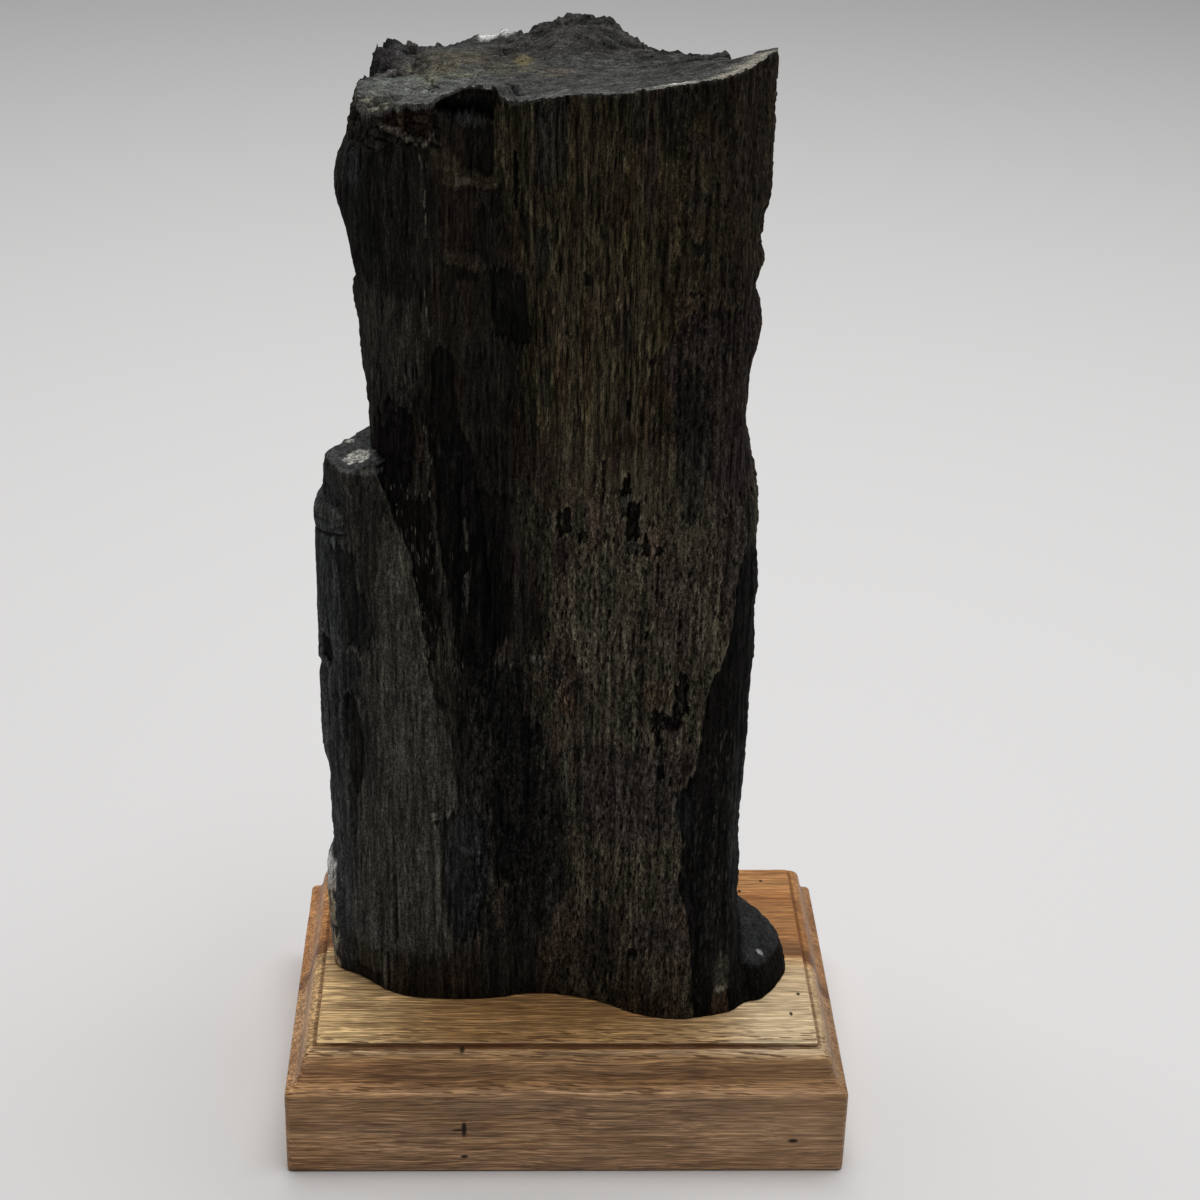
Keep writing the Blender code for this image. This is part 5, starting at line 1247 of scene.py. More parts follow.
# ------------------------------------------------------------------ materials
class Nodes:
    """Short way to write a node tree."""

    def __init__(self, name):
        self.material = bpy.data.materials.new(name)
        self.material.use_nodes = True
        self.tree = self.material.node_tree
        self.tree.nodes.clear()
        self.out = self.tree.nodes.new('ShaderNodeOutputMaterial')
        self.shader = self.tree.nodes.new('ShaderNodeBsdfPrincipled')
        self.tree.links.new(self.shader.outputs[0], self.out.inputs[0])

    def link(self, a, b):
        self.tree.links.new(a, b)

    def put(self, socket, value):
        if isinstance(value, bpy.types.NodeSocket):
            self.link(value, socket)
        elif value is not None:
            socket.default_value = value

    def coords(self, scale, offset=(0, 0, 0), source=None):
        if source is None:
            if not hasattr(self, '_object'):
                self._object = self.tree.nodes.new('ShaderNodeTexCoord').outputs['Object']
            source = self._object
        m = self.tree.nodes.new('ShaderNodeMapping')
        self.link(source, m.inputs['Vector'])
        m.inputs['Scale'].default_value = scale
        m.inputs['Location'].default_value = offset
        return m.outputs[0]

    def noise(self, vector, scale=1.0, detail=3.0, rough=0.55, distortion=0.0):
        t = self.tree.nodes.new('ShaderNodeTexNoise')
        self.link(vector, t.inputs['Vector'])
        t.inputs['Scale'].default_value = scale
        t.inputs['Detail'].default_value = detail
        t.inputs['Roughness'].default_value = rough
        t.inputs['Distortion'].default_value = distortion
        return t.outputs['Fac']

    def voronoi(self, vector, feature='F1', randomness=1.0):
        t = self.tree.nodes.new('ShaderNodeTexVoronoi')
        t.feature = feature
        self.link(vector, t.inputs['Vector'])
        t.inputs['Scale'].default_value = 1.0
        t.inputs['Randomness'].default_value = randomness
        return t.outputs['Distance']

    def math(self, op, a, b=None, c=None, clamp=False):
        t = self.tree.nodes.new('ShaderNodeMath')
        t.operation = op
        t.use_clamp = clamp
        self.put(t.inputs[0], a)
        self.put(t.inputs[1], b)
        self.put(t.inputs[2], c)
        return t.outputs[0]

    def map(self, value, a, b, c=0.0, d=1.0, smooth_it=False):
        t = self.tree.nodes.new('ShaderNodeMapRange')
        t.interpolation_type = 'SMOOTHSTEP' if smooth_it else 'LINEAR'
        t.clamp = True
        self.put(t.inputs['Value'], value)
        for key, v in (('From Min', a), ('From Max', b), ('To Min', c), ('To Max', d)):
            t.inputs[key].default_value = v
        return t.outputs[0]

    def mix(self, fac, a, b):
        t = self.tree.nodes.new('ShaderNodeMix')
        t.data_type = 'RGBA'
        self.put(t.inputs['Factor'], fac)
        for socket, v in ((t.inputs[6], a), (t.inputs[7], b)):
            if isinstance(v, bpy.types.NodeSocket):
                self.link(v, socket)
            else:
                socket.default_value = (*v, 1.0)
        return t.outputs[2]

    def mix_value(self, fac, a, b):
        t = self.tree.nodes.new('ShaderNodeMix')
        t.data_type = 'FLOAT'
        self.put(t.inputs['Factor'], fac)
        self.put(t.inputs[2], a)
        self.put(t.inputs[3], b)
        return t.outputs[0]

    def times(self, colour, value):
        t = self.tree.nodes.new('ShaderNodeVectorMath')
        t.operation = 'SCALE'
        self.link(colour, t.inputs[0])
        self.put(t.inputs['Scale'], value)
        return t.outputs[0]

    def split(self, vector):
        t = self.tree.nodes.new('ShaderNodeSeparateXYZ')
        self.link(vector, t.inputs[0])
        return t.outputs[0], t.outputs[1], t.outputs[2]

    def join(self, x, y, z):
        t = self.tree.nodes.new('ShaderNodeCombineXYZ')
        for socket, v in zip(t.inputs, (x, y, z)):
            self.put(socket, v)
        return t.outputs[0]

    def attribute(self, name, output='Color'):
        t = self.tree.nodes.new('ShaderNodeAttribute')
        t.attribute_name = name
        return t.outputs[output]

    def bump(self, height, distance, strength=1.0, normal=None):
        t = self.tree.nodes.new('ShaderNodeBump')
        t.inputs['Strength'].default_value = strength
        t.inputs['Distance'].default_value = distance
        self.link(height, t.inputs['Height'])
        if normal is not None:
            self.link(normal, t.inputs['Normal'])
        return t.outputs[0]


def stone_material(name, broken=False):
    n = Nodes(name)
    tone = n.attribute("tone")
    short, glint, depth = n.split(n.attribute("guide", 'Vector'))
    wander = n.noise(n.coords((260, 260, 70), (3, 5, 1)), 1.0, 1.0)
    wander = n.math('MULTIPLY', n.math('SUBTRACT', wander, 0.5), 0.0016)
    x, y, z = n.split(n.tree.nodes.new('ShaderNodeTexCoord').outputs['Object'])
    bent = n.join(n.math('ADD', x, wander), n.math('ADD', y, wander), z)
    if broken:
        line = n.noise(n.coords((330, 1000, 500), (5, 2, 1)), 1.0, 4.0, 0.68)
        line2 = n.noise(n.coords((1500, 2300, 1800), (1, 2, 1)), 1.0, 3.0, 0.64)
        f = n.math('MULTIPLY', n.map(line, 0.32, 0.68, 0.52, 1.46), n.map(line2, 0.32, 0.68, 0.58, 1.42))
        seam = n.noise(n.coords((170, 520, 400), (2, 4, 6)), 1.0, 3.0, 0.62)
        seam = n.map(n.math('ABSOLUTE', n.math('SUBTRACT', seam, 0.5)), 0.0, 0.030, 0.55, 0)
        f = n.math('MULTIPLY', f, n.math('SUBTRACT', 1.0, seam))
        height = n.math('ADD', line, n.math('MULTIPLY', line2, 0.5))
        pit = n.voronoi(n.coords((500, 1100, 700), (1, 3, 5)))
        dark = n.math('MULTIPLY', n.map(pit, 0.30, 0.12, 0, 1, True), 0.5)
    else:
        fibre = n.noise(n.coords((2000, 2000, 270), (0, 0, 0), bent), 1.0, 2.0, 0.66)
        strand = n.noise(n.coords((900, 900, 36), (4, 1, 2), bent), 1.0, 2.0, 0.5)
        stub = n.noise(n.coords((1900, 1900, 820), (2, 6, 3), bent), 1.0, 3.0, 0.70)
        mottle = n.noise(n.coords((330, 330, 110), (7, 1, 5), bent), 1.0, 3.0, 0.60)
        fine = n.mix_value(short, fibre, stub)
        fine_tone = n.mix_value(depth, n.map(fine, 0.34, 0.66, 0.76, 1.26), n.map(fine, 0.34, 0.66, 0.34, 1.85))
        f = n.math('MULTIPLY', fine_tone, n.map(strand, 0.34, 0.66, 0.68, 1.34))
        f = n.math('MULTIPLY', f, n.map(mottle, 0.34, 0.66, 0.74, 1.28))
        long_slit = n.voronoi(n.coords((1300, 1300, 95), (1, 2, 3), bent))
        short_slit = n.voronoi(n.coords((1200, 1200, 270), (6, 2, 8), bent))
        where = n.noise(n.coords((240, 240, 60), (9, 9, 4)), 1.0, 1.0)
        slit = n.mix_value(short, n.map(long_slit, 0.30, 0.16, 0, 1, True),
                           n.map(short_slit, 0.36, 0.20, 0, 1, True))
        dark = n.math('MULTIPLY', n.math('MULTIPLY', slit, n.map(where, 0.40, 0.58, 0.15, 1.0)), depth)
        # hairline cracks: long between whole fibres, curling where it is grainy
        hair = n.noise(n.coords((1000, 1000, 50), (3, 9, 4), bent), 1.0, 2.0, 0.62)
        curl = n.noise(n.coords((980, 980, 330), (8, 3, 1), bent), 1.0, 2.0, 0.62)
        hair = n.map(n.math('ABSOLUTE', n.math('SUBTRACT', hair, 0.5)), 0.0, 0.055, 0.75, 0)
        curl = n.map(n.math('ABSOLUTE', n.math('SUBTRACT', curl, 0.5)), 0.0, 0.070, 1.0, 0)
        crackle = n.math('MULTIPLY', n.mix_value(short, hair, curl), n.map(where, 0.62, 0.42, 0.30, 1.0))
        crackle = n.math('MULTIPLY', crackle, n.map(depth, 0.3, 1.0, 0.35, 0.80))
        dark = n.math('MAXIMUM', n.math('MULTIPLY', dark, 0.85), crackle)
        height = n.math('SUBTRACT', n.math('ADD', fine, n.math('MULTIPLY', strand, 0.6)),
                        n.math('MULTIPLY', dark, 0.9))
    grit = n.noise(n.coords((2300, 2300, 2100), (7, 7, 2)), 1.0, 2.0, 0.62)
    f = n.math('MULTIPLY', f, n.map(grit, 0.34, 0.66, 0.52, 1.52))
    f = n.math('MULTIPLY', f, n.math('SUBTRACT', 1.0, dark))
    colour = n.times(tone, n.math('MULTIPLY', f, 1.0 if broken else 1.28))
    if not broken:
        # painted glints: short bright threads where the guide's glint is set
        thread = n.voronoi(n.coords((1500, 1500, 190), (3, 3, 3), bent))
        chosen = n.noise(n.coords((420, 420, 150), (2, 7, 7)), 1.0, 1.0)
        on = n.math('MULTIPLY', n.map(thread, 0.34, 0.22, 0, 1, True), n.map(chosen, 0.50, 0.58, 0, 1))
        on = n.math('MULTIPLY', on, glint)
        colour = n.mix(on, colour, (0.17, 0.155, 0.12))
    n.link(colour, n.shader.inputs['Base Color'])
    n.link(n.map(grit, 0.3, 0.7, 0.58, 0.86), n.shader.inputs['Roughness'])
    n.shader.inputs['Specular IOR Level'].default_value = 0.035
    n.link(n.bump(height, 0.00030, 0.6), n.shader.inputs['Normal'])
    return n.material


def wood_material():
    """Oiled hardwood: pale sapwood in front, red-brown heartwood behind."""
    n = Nodes("wood_finish")
    mm = n.coords((1000, 1000, 1000))
    x, y, z = n.split(mm)
    drift = n.noise(n.coords((9, 26, 26), (1, 2, 3)), 1.0, 2.0, 0.5)
    drift = n.math('MULTIPLY', n.math('SUBTRACT', drift, 0.5), 9.0)
    ry = n.math('SUBTRACT', y, 105.0)
    rz = n.math('ADD', z, 20.0)
    r = n.math('SQRT', n.math('ADD', n.math('MULTIPLY', ry, ry), n.math('MULTIPLY', rz, rz)))
    r = n.math('SUBTRACT', r, n.math('MULTIPLY', x, 0.018))
    rr = n.math('ADD', r, drift)
    # growth rings, and the fibres and pores that run along X
    ring = n.noise(n.join(n.math('MULTIPLY', rr, 0.55), n.math('MULTIPLY', x, 0.006), 0.0), 1.0, 3.0, 0.65)
    waver = n.noise(n.coords((30, 60, 60), (3, 8, 2)), 1.0, 1.0)
    waver = n.math('MULTIPLY', n.math('SUBTRACT', waver, 0.5), 0.0022)
    ox, oy, oz = n.split(n.tree.nodes.new('ShaderNodeTexCoord').outputs['Object'])
    bent = n.join(ox, n.math('ADD', oy, waver), n.math('ADD', oz, waver))
    grain = n.noise(n.coords((34, 1700, 1700), (0, 0, 0), bent), 1.0, 3.0, 0.74)
    silk = n.noise(n.coords((120, 3000, 3000), (4, 1, 2), bent), 1.0, 2.0, 0.62)
    vein = n.noise(n.coords((13, 640, 640), (6, 3, 9), bent), 1.0, 3.0, 0.62)
    vein = n.map(n.math('ABSOLUTE', n.math('SUBTRACT', vein, 0.5)), 0.0, 0.045, 1.0, 0)
    vein2 = n.noise(n.coords((30, 1250, 1250), (2, 8, 5), bent), 1.0, 2.0, 0.62)
    vein2 = n.map(n.math('ABSOLUTE', n.math('SUBTRACT', vein2, 0.5)), 0.0, 0.050, 1.0, 0)
    broad = n.noise(n.coords((9, 330, 330), (1, 7, 3), bent), 1.0, 3.0, 0.62)
    band = n.noise(n.coords((6, 105, 120), (2, 5, 1)), 1.0, 3.0, 0.60)
    pores = n.voronoi(n.coords((52, 1450, 1450), (0.3, 0.7, 0.2), bent))
    small_pores = n.voronoi(n.coords((110, 2300, 2300), (5.3, 1.7, 2.2), bent))
    pores_where = n.noise(n.coords((22, 210, 210), (8, 8, 8)), 1.0, 2.0)
    pore = n.math('MULTIPLY', n.map(pores, 0.33, 0.25, 0, 1, True),
                  n.map(pores_where, 0.40, 0.54, 0.25, 1.0))
    pore = n.math('MAXIMUM', pore, n.math('MULTIPLY', n.map(small_pores, 0.36, 0.26, 0, 1, True), 0.55))
    # slanting flecks where the cutter crossed interlocked grain
    slant = n.math('ADD', n.math('MULTIPLY', x, 0.17), n.math('MULTIPLY', n.math('ADD', y, z), 0.62))
    fleck = n.voronoi(n.join(slant, n.math('MULTIPLY', y, 1.05), n.math('MULTIPLY', z, 1.05)))
    fleck_where = n.noise(n.coords((55, 260, 260), (2, 2, 9)), 1.0, 2.0)
    on_lip = n.math('MULTIPLY', n.map(z, 25.3, 25.7, 0, 1, True), n.map(z, 29.4, 27.6, 0, 1, True))
    on_bead = n.map(z, 33.6, 35.0, 0, 1, True)
    on_bead = n.math('MULTIPLY', on_bead, n.map(y, -30, -40, 0.10, 1.0, True))
    fleck_zone = n.math('MAXIMUM', on_lip, on_bead)
    fleck = n.math('MULTIPLY', n.map(fleck, 0.36, 0.27, 0, 1, True), n.map(fleck_where, 0.38, 0.50, 0.40, 1.0))
    fleck = n.math('MULTIPLY', fleck, fleck_zone)
    # the top is paler than the moulding: painted light on the up-facing top, and the moulding a little browner
    topness = n.map(z, 33.4, 37.4, 0, 1, True)
    sap = n.mix(n.map(band, 0.34, 0.66), (0.400, 0.208, 0.076), (0.600, 0.365, 0.155))
    sap_side = n.mix(n.map(band, 0.34, 0.66), (0.340, 0.178, 0.076), (0.545, 0.325, 0.158))
    sap = n.mix(topness, sap_side, sap)
    sap = n.mix(n.map(ring, 0.42, 0.64, 0.0, 0.50), sap, n.mix(topness, (0.235, 0.112, 0.046), (0.33, 0.175, 0.066)))
    grey = n.noise(n.coords((16, 70, 70), (4, 4, 1)), 1.0, 2.0)
    grey = n.math('MULTIPLY', n.map(grey, 0.46, 0.60, 0, 0.4, True), n.map(z, 27.0, 25.0, 0, 1, True))
    sap = n.mix(grey, sap, (0.400, 0.255, 0.155))
    heart = n.mix(n.map(band, 0.34, 0.66), (0.330, 0.140, 0.046), (0.500, 0.250, 0.095))
    edge = n.math('SUBTRACT', rr, 120.2)
    sapness = n.map(edge, -0.9, 0.9, 0, 1, True)
    colour = n.mix(sapness, heart, sap)
    stain = n.math('MULTIPLY', n.map(edge, -8.5, -3.0, 0, 1, True), n.map(edge, -1.2, 0.4, 1, 0, True))
    colour = n.mix(n.math('MULTIPLY', stain, 0.75), colour, (0.105, 0.048, 0.024))
    # painted sheen on the top toward the right front
    right_front_sheen = n.math('MULTIPLY', n.map(x, 10, 60, 0, 1, True), n.map(y, -10, -35, 0, 1, True))
    colour = n.mix(n.math('MULTIPLY', n.math('MULTIPLY', right_front_sheen, topness), 0.54), colour, (0.80, 0.59, 0.33))
    # painted light from the left: the top's left end lighter
    left_top_light = n.math('MULTIPLY', n.math('MULTIPLY', n.map(x, -26, -62, 0, 0.50, True), topness), sapness)
    colour = n.mix(left_top_light, colour, (0.76, 0.57, 0.30))
    # painted sheen at the top's right front corner, cream-coloured
    cream = n.math('MULTIPLY', n.map(x, 38, 54, 0, 1, True), n.math('MULTIPLY', n.map(y, 0, -12, 0, 1, True), sapness))
    colour = n.mix(n.math('MULTIPLY', n.math('MULTIPLY', cream, topness), 0.55), colour, (0.86, 0.70, 0.45))
    # painted light on the left end, painted shade on the right end
    facing_front = n.map(y, -48.5, -50.2, 0, 1, True)
    end_light_and_shade = n.mix_value(facing_front, n.map(x, -44, -76, 1.0, 1.80), n.map(x, -44, -76, 1.0, 1.10))
    end_light_and_shade = n.math('MULTIPLY', end_light_and_shade, n.map(x, 68, 75, 1.0, 0.84))
    colour = n.times(colour, n.math('MULTIPLY', end_light_and_shade, 1.21))
    calm = n.map(x, 34, 58, 0, 1, True)
    colour = n.times(colour, n.mix_value(calm, n.map(grain, 0.40, 0.60, 0.60, 1.26), n.map(grain, 0.40, 0.60, 0.74, 1.20)))
    colour = n.times(colour, n.mix_value(calm, n.map(silk, 0.40, 0.60, 0.70, 1.28), n.map(silk, 0.40, 0.60, 0.78, 1.20)))
    colour = n.times(colour, n.map(broad, 0.36, 0.64, 0.88, 1.18))
    bright = n.math('MULTIPLY', n.map(grain, 0.50, 0.62, 0, 0.34, True), n.map(z, 30.0, 24.0, 0, 1, True))
    colour = n.mix(bright, colour, n.times(n.mix(n.map(band, 0.34, 0.66), (0.49, 0.340, 0.200), (0.57, 0.410, 0.255)), n.map(silk, 0.40, 0.60, 0.84, 1.16)))
    veins = n.math('MAXIMUM', n.math('MULTIPLY', vein, 0.62), n.math('MULTIPLY', vein2, 0.58))
    veins = n.math('MULTIPLY', veins, n.map(calm, 0, 1, 1.0, 0.60))
    colour = n.mix(veins, colour, (0.120, 0.052, 0.018))
    colour = n.mix(n.math('MULTIPLY', pore, n.map(calm, 0, 1, 0.74, 0.46)), colour, (0.110, 0.047, 0.016))
    # painted shade in the cove and a small painted highlight along the lip; the bead's upper part darker, lighter
    # toward the bottom, a little darker just below the lip, the quirk darker and redder
    cove = n.math('MULTIPLY', n.map(z, 28.0, 29.6, 0, 1, True), n.map(z, 34.0, 31.6, 0, 1, True))
    colour = n.times(colour, n.map(cove, 0, 1, 1.0, 0.80))
    colour = n.times(colour, n.map(on_lip, 0, 1, 1.0, 1.04))
    colour = n.times(colour, n.map(n.math('MULTIPLY', on_bead, n.map(z, 36.6, 36.0, 0, 1, True)), 0, 1, 1.0, 0.82))
    colour = n.times(colour, n.map(z, 20.0, 4.0, 1.0, 1.12))
    under = n.math('MULTIPLY', n.map(z, 25.4, 25.0, 0, 1, True), n.map(z, 20.0, 24.6, 0, 1, True))
    colour = n.times(colour, n.map(under, 0, 1, 1.0, 0.90))
    colour = n.mix(n.math('MULTIPLY', fleck, 0.88), colour, (0.130, 0.058, 0.018))
    quirk = n.math('MULTIPLY', n.map(z, 35.93, 36.03, 0, 1, True), n.map(z, 37.38, 36.9, 0, 1, True))
    quirk = n.math('MULTIPLY', quirk, n.math('MULTIPLY', n.map(x, 50, 66, 1.0, 0.70), n.map(x, -60, -67, 1.0, 0.70)))
    quirk = n.math('MULTIPLY', quirk, n.map(grain, 0.36, 0.60, 1.0, 0.80))
    colour = n.mix(quirk, colour, (0.098, 0.028, 0.0010))
    # small dark flaws: middle and half sizes, mm
    flaws = ((-27.9, -50.8, 14.6, 0.70, 3, 2.5), (-29.4, -50.8, 14.3, 1.7, 3, 0.34),
             (-27.8, -50.8, 5.3, 1.0, 3, 0.55),
             (61.8, -50.8, 10.5, 1.4, 3, 0.65), (-28.5, -43.4, 35.4, 0.9, 1.3, 1.0),
             (64.7, -20.6, 37.5, 0.5, 0.7, 3), (61.8, -29.7, 37.5, 0.45, 0.9, 3),
             (52.4, 30.5, 37.5, 0.5, 0.7, 3), (59.3, 35.9, 37.5, 0.6, 0.5, 3))
    mark = None
    for cx, cy, cz, hx, hy, hz in flaws:
        q = n.join(n.math('DIVIDE', n.math('SUBTRACT', x, cx), hx),
                   n.math('DIVIDE', n.math('SUBTRACT', y, cy), hy),
                   n.math('DIVIDE', n.math('SUBTRACT', z, cz), hz))
        length = n.tree.nodes.new('ShaderNodeVectorMath')
        length.operation = 'LENGTH'
        n.link(q, length.inputs[0])
        one = n.map(length.outputs['Value'], 1.42, 0.55, 0, 1, True)
        mark = one if mark is None else n.math('MAXIMUM', mark, one)
    colour = n.mix(n.math('MULTIPLY', mark, 0.94), colour, (0.009, 0.005, 0.004))
    n.link(colour, n.shader.inputs['Base Color'])
    n.link(n.math('ADD', n.map(silk, 0.3, 0.7, 0.34, 0.54), n.math('MULTIPLY', mark, 0.4)), n.shader.inputs['Roughness'])
    n.shader.inputs['Specular IOR Level'].default_value = 0.26
    height = n.math('SUBTRACT', n.math('MULTIPLY', grain, 0.6), n.math('MULTIPLY', pore, 0.8))
    height = n.math('SUBTRACT', height, fleck)
    n.link(n.bump(height, 0.00020, 0.5), n.shader.inputs['Normal'])
    return n.material


# ------------------------------------------------------------------ base
def base_profile():
    """The moulding as (inset, height), eased where the cutter was."""
    fine = [(1.1, 0.0), (0.55, 0.08), (0.18, 0.4), (0.0, 1.0)]
    fine += [(0.0, z) for z in np.arange(3.0, 25.0, 2.2)]
    fine += [(0.0, 25.05), (0.08, 25.5), (0.30, 25.85)]
    # cove above the lip, bead, then the quirk under the top's edge
    knots = np.array([(0.75, 26.15), (1.6, 26.75), (2.5, 27.6), (3.25, 28.8),
                      (3.8, 30.3), (4.15, 31.9), (4.45, 33.2), (4.9, 34.3),
                      (5.6, 35.15), (6.5, 35.75), (7.4, 36.02), (8.0, 36.05)])
    t = np.linspace(0, len(knots) - 1, 34)
    i = np.clip(np.floor(t).astype(int), 0, len(knots) - 2)
    f = (t - i)[:, None]
    p0, p1 = knots[np.maximum(i - 1, 0)], knots[i]
    p2, p3 = knots[i + 1], knots[np.minimum(i + 2, len(knots) - 1)]
    fine += [tuple(p) for p in 0.5 * (2 * p1 + (p2 - p0) * f + (2 * p0 - 5 * p1 + 4 * p2 - p3) * f * f
                                      + (3 * p1 - p0 - 3 * p2 + p3) * f ** 3)]
    fine += [(8.14, 36.12), (8.2, 36.4), (8.22, 36.9), (8.32, 37.25), (8.6, 37.44), (9.1, 37.5)]
    return np.array(fine)


def build_base():
    profile = base_profile()
    hx, hy = BASE_W / 2, BASE_D / 2
    step, radius = 1.6, 1.5
    plan = []
    corner_steps = 5
    for k, (sx, sy) in enumerate(((1, -1), (1, 1), (-1, 1), (-1, -1))):
        for i in range(corner_steps + 1):
            a = math.radians(-90 + 90 * k + 90 * i / corner_steps)
            plan.append((sx, sy, math.cos(a), math.sin(a), None))
        length = (2 * hy if k in (0, 2) else 2 * hx) - 2 * radius
        m = int(length / step)
        for i in range(1, m):
            plan.append((sx, sy, math.cos(a), math.sin(a), i / m))
    n = len(plan)
    rows = len(profile)
    rings = np.zeros((rows, n, 3))
    nxt = {0: (1, 1), 1: (-1, 1), 2: (-1, -1), 3: (1, -1)}
    arc = np.cumsum(np.concatenate(([0], np.hypot(*np.diff(profile, axis=0).T))))
    for j, (sx, sy, ca, sa, f) in enumerate(plan):
        k = [(1, -1), (1, 1), (-1, 1), (-1, -1)].index((sx, sy))
        ex, ey = nxt[k]
        for i, (inset, z) in enumerate(profile):
            r = radius if z < 36.1 else 0.8
            cx, cy = hx - inset - r, hy - inset - r
            ax, ay = sx * cx + r * ca, sy * cy + r * sa
            if f is not None:
                bx, by = ex * cx + r * ca, ey * cy + r * sa
                ax, ay = ax + (bx - ax) * f, ay + (by - ay) * f
            rings[i, j] = ax, ay, z
    # hand-finished: edges wander by a few hundredths, corners a little worn
    x, y, z = rings[..., 0], rings[..., 1], rings[..., 2]
    wander = 0.10 * gnoise(x / 23, y / 23, z / 7, 110) + 0.05 * gnoise(x / 6, y / 6, z / 2, 111)
    inward = np.stack((-np.sign(x) * (np.abs(x) / hx > np.abs(y) / hy),
                       -np.sign(y) * (np.abs(x) / hx <= np.abs(y) / hy),
                       np.zeros_like(x)), axis=-1)
    edge = smooth(1.6, 0.0, np.abs(z - 25.6)) + smooth(0.9, 0.0, np.abs(z - 37.3))
    amount = np.clip(0.10 + wander, 0, 0.4) * np.clip(0.35 + edge, 0, 1)
    rings = rings + inward * amount[..., None]
    fill = []
    for f in np.linspace(0, 1, 14)[1:-1]:
        ring = rings[-1].copy()
        ring[:, 0] = ring[:, 0] * (1 - f) + np.clip(ring[:, 0], -hx + hy + 4, hx - hy - 4) * f
        ring[:, 1] = ring[:, 1] * (1 - f)
        fill.append(ring)
    allrings = np.concatenate((rings, np.array(fill)))
    total = len(allrings)
    verts = allrings.reshape(-1, 3)
    r, c = np.meshgrid(np.arange(total - 1), np.arange(n), indexing='ij')
    c2 = (c + 1) % n
    quads = np.stack((r * n + c, r * n + c2, (r + 1) * n + c2, (r + 1) * n + c), axis=-1).reshape(-1, 4)
    loops = list(quads.ravel())
    starts = list(np.arange(len(quads)) * 4)
    for ring_index, reverse in ((0, True), (total - 1, False)):
        starts.append(len(loops))
        ids = [ring_index * n + j for j in range(n)]
        loops.extend(reversed(ids) if reverse else ids)
    base = mesh_object("base", verts, loops, starts, 30)
    # sides in two strips, the top and the underside below them
    mesh = base.data
    nl = len(mesh.loops)
    loop_vert = np.zeros(nl, np.int32)
    mesh.loops.foreach_get("vertex_index", loop_vert)
    face_of_loop = np.repeat(np.arange(len(mesh.polygons)),
                             [p.loop_total for p in mesh.polygons])
    co = verts[loop_vert]
    mid = np.array([np.mean(verts[[mesh.loops[i].vertex_index for i in p.loop_indices]], axis=0)
                    for p in mesh.polygons])
    nrm = np.array([tuple(p.normal) for p in mesh.polygons])
    s = 1 / 258.0
    uv = np.zeros((nl, 2))
    m_, n_ = mid[face_of_loop], nrm[face_of_loop]
    row = np.minimum(loop_vert // n, rows - 1)
    height = arc[row] * s
    top = (row >= rows - 1) & (n_[:, 2] > 0.9)
    bottom = n_[:, 2] < -0.9
    sidey = ~top & ~bottom
    on_x = np.abs(n_[:, 0]) > np.abs(n_[:, 1])
    flat_ledge = sidey & (np.abs(n_[:, 2]) > 0.9)
    on_x = np.where(flat_ledge, np.abs(m_[:, 0]) - (hx - hy) > np.abs(m_[:, 1]), on_x)
    front = sidey & ~on_x & (m_[:, 1] < 0)
    back = sidey & ~on_x & (m_[:, 1] >= 0)
    left = sidey & on_x & (m_[:, 0] < 0)
    right = sidey & on_x & (m_[:, 0] >= 0)
    uv[front] = np.column_stack((co[front, 0] * s + 0.300, height[front] + 0.005))
    uv[right] = np.column_stack((co[right, 1] * s + 0.798, height[right] + 0.005))
    uv[back] = np.column_stack((-co[back, 0] * s + 0.300, height[back] + 0.225))
    uv[left] = np.column_stack((-co[left, 1] * s + 0.798, height[left] + 0.225))
    uv[top] = np.column_stack((co[top, 0] * s + 0.300, co[top, 1] * s + 0.625))
    uv[bottom] = np.column_stack((co[bottom, 0] * s * 0.6 + 0.78, co[bottom, 1] * s * 0.6 + 0.60))
    add_uv(base, uv)
    print("base: triangles", 2 * len(quads) + 2 * n)
    return base


# ------------------------------------------------------------------ the scene
split_face = stone_material("stone_finish")
broken_end = stone_material("stone_broken_finish", True)
for piece in build_stone():
    piece.data.materials.append(broken_end if piece.name == "stone_ends" else split_face)
    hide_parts("petrified_wood")
    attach(piece, "root")

base = build_base()
base.data.materials.append(wood_material())
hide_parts("wooden_base")
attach(base, "root")

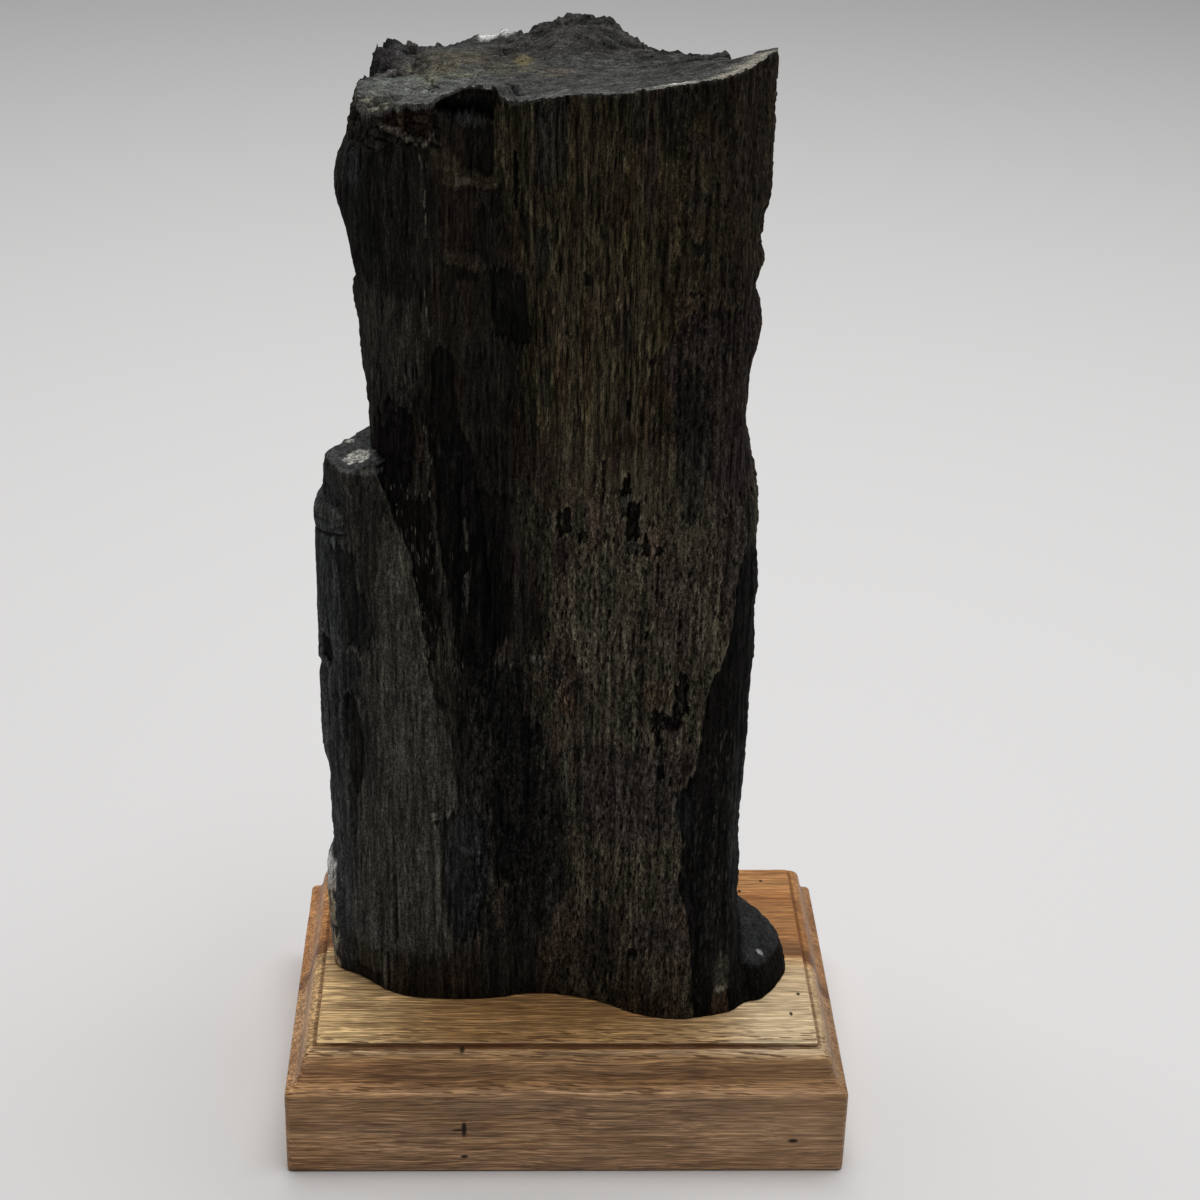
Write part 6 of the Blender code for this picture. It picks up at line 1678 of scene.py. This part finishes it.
floor_nodes = Nodes("pale_floor")
floor_nodes.shader.inputs['Base Color'].default_value = (0.80, 0.79, 0.785, 1)
floor_nodes.shader.inputs['Roughness'].default_value = 0.9
floor_nodes.shader.inputs['Specular IOR Level'].default_value = 0.1
floor_mesh = bpy.data.meshes.new("floor")
floor_mesh.from_pydata([(-15, -15, 0), (15, -15, 0), (15, 15, 0), (-15, 15, 0)], [], [(0, 1, 2, 3)])
floor = bpy.data.objects.new("floor", floor_mesh)
bpy.context.scene.collection.objects.link(floor)
floor.data.materials.append(floor_nodes.material)

world = bpy.data.worlds.new("studio")
world.use_nodes = True
world.node_tree.nodes["Background"].inputs[0].default_value = (0.97, 0.98, 1.0, 1)
world.node_tree.nodes["Background"].inputs[1].default_value = 0.11
bpy.context.scene.world = world


def area_light(name, place, aim, size, power, colour=(1, 1, 1)):
    data = bpy.data.lights.new(name, 'AREA')
    data.shape = 'RECTANGLE'
    data.size, data.size_y = size
    data.energy = power
    data.color = colour
    obj = bpy.data.objects.new(name, data)
    bpy.context.scene.collection.objects.link(obj)
    obj.location = place
    obj.rotation_euler = (Vector(aim) - Vector(place)).to_track_quat('-Z', 'Y').to_euler()
    return obj


area_light("overhead", (0.10, 0.16, 1.60), (0.0, 0.03, 0.0), (1.4, 1.1), 25.5)

camera_data = bpy.data.cameras.new("camera")
camera_data.sensor_fit = 'HORIZONTAL'
camera_data.sensor_width = 36.0
camera_data.lens = 72.22
camera_data.clip_start = 0.02
camera_data.clip_end = 100
camera = bpy.data.objects.new("camera", camera_data)
bpy.context.scene.collection.objects.link(camera)
yaw, pitch, roll = (math.radians(a) for a in (2.422, 26.954, -1.503))
forward = Vector((math.sin(yaw) * math.cos(pitch), math.cos(yaw) * math.cos(pitch), -math.sin(pitch)))
right0 = Vector((math.cos(yaw), -math.sin(yaw), 0))
down0 = forward.cross(right0)
right = math.cos(roll) * right0 + math.sin(roll) * down0
down = -math.sin(roll) * right0 + math.cos(roll) * down0
turn = Matrix((right, -down, -forward)).transposed().to_4x4()
camera.matrix_world = Matrix.Translation((-0.01667, -0.56769, 0.43895)) @ turn
bpy.context.scene.camera = camera

bpy.context.scene.view_settings.view_transform = 'Standard'
bpy.context.scene.view_settings.look = 'None'

bpy.context.view_layer.update()
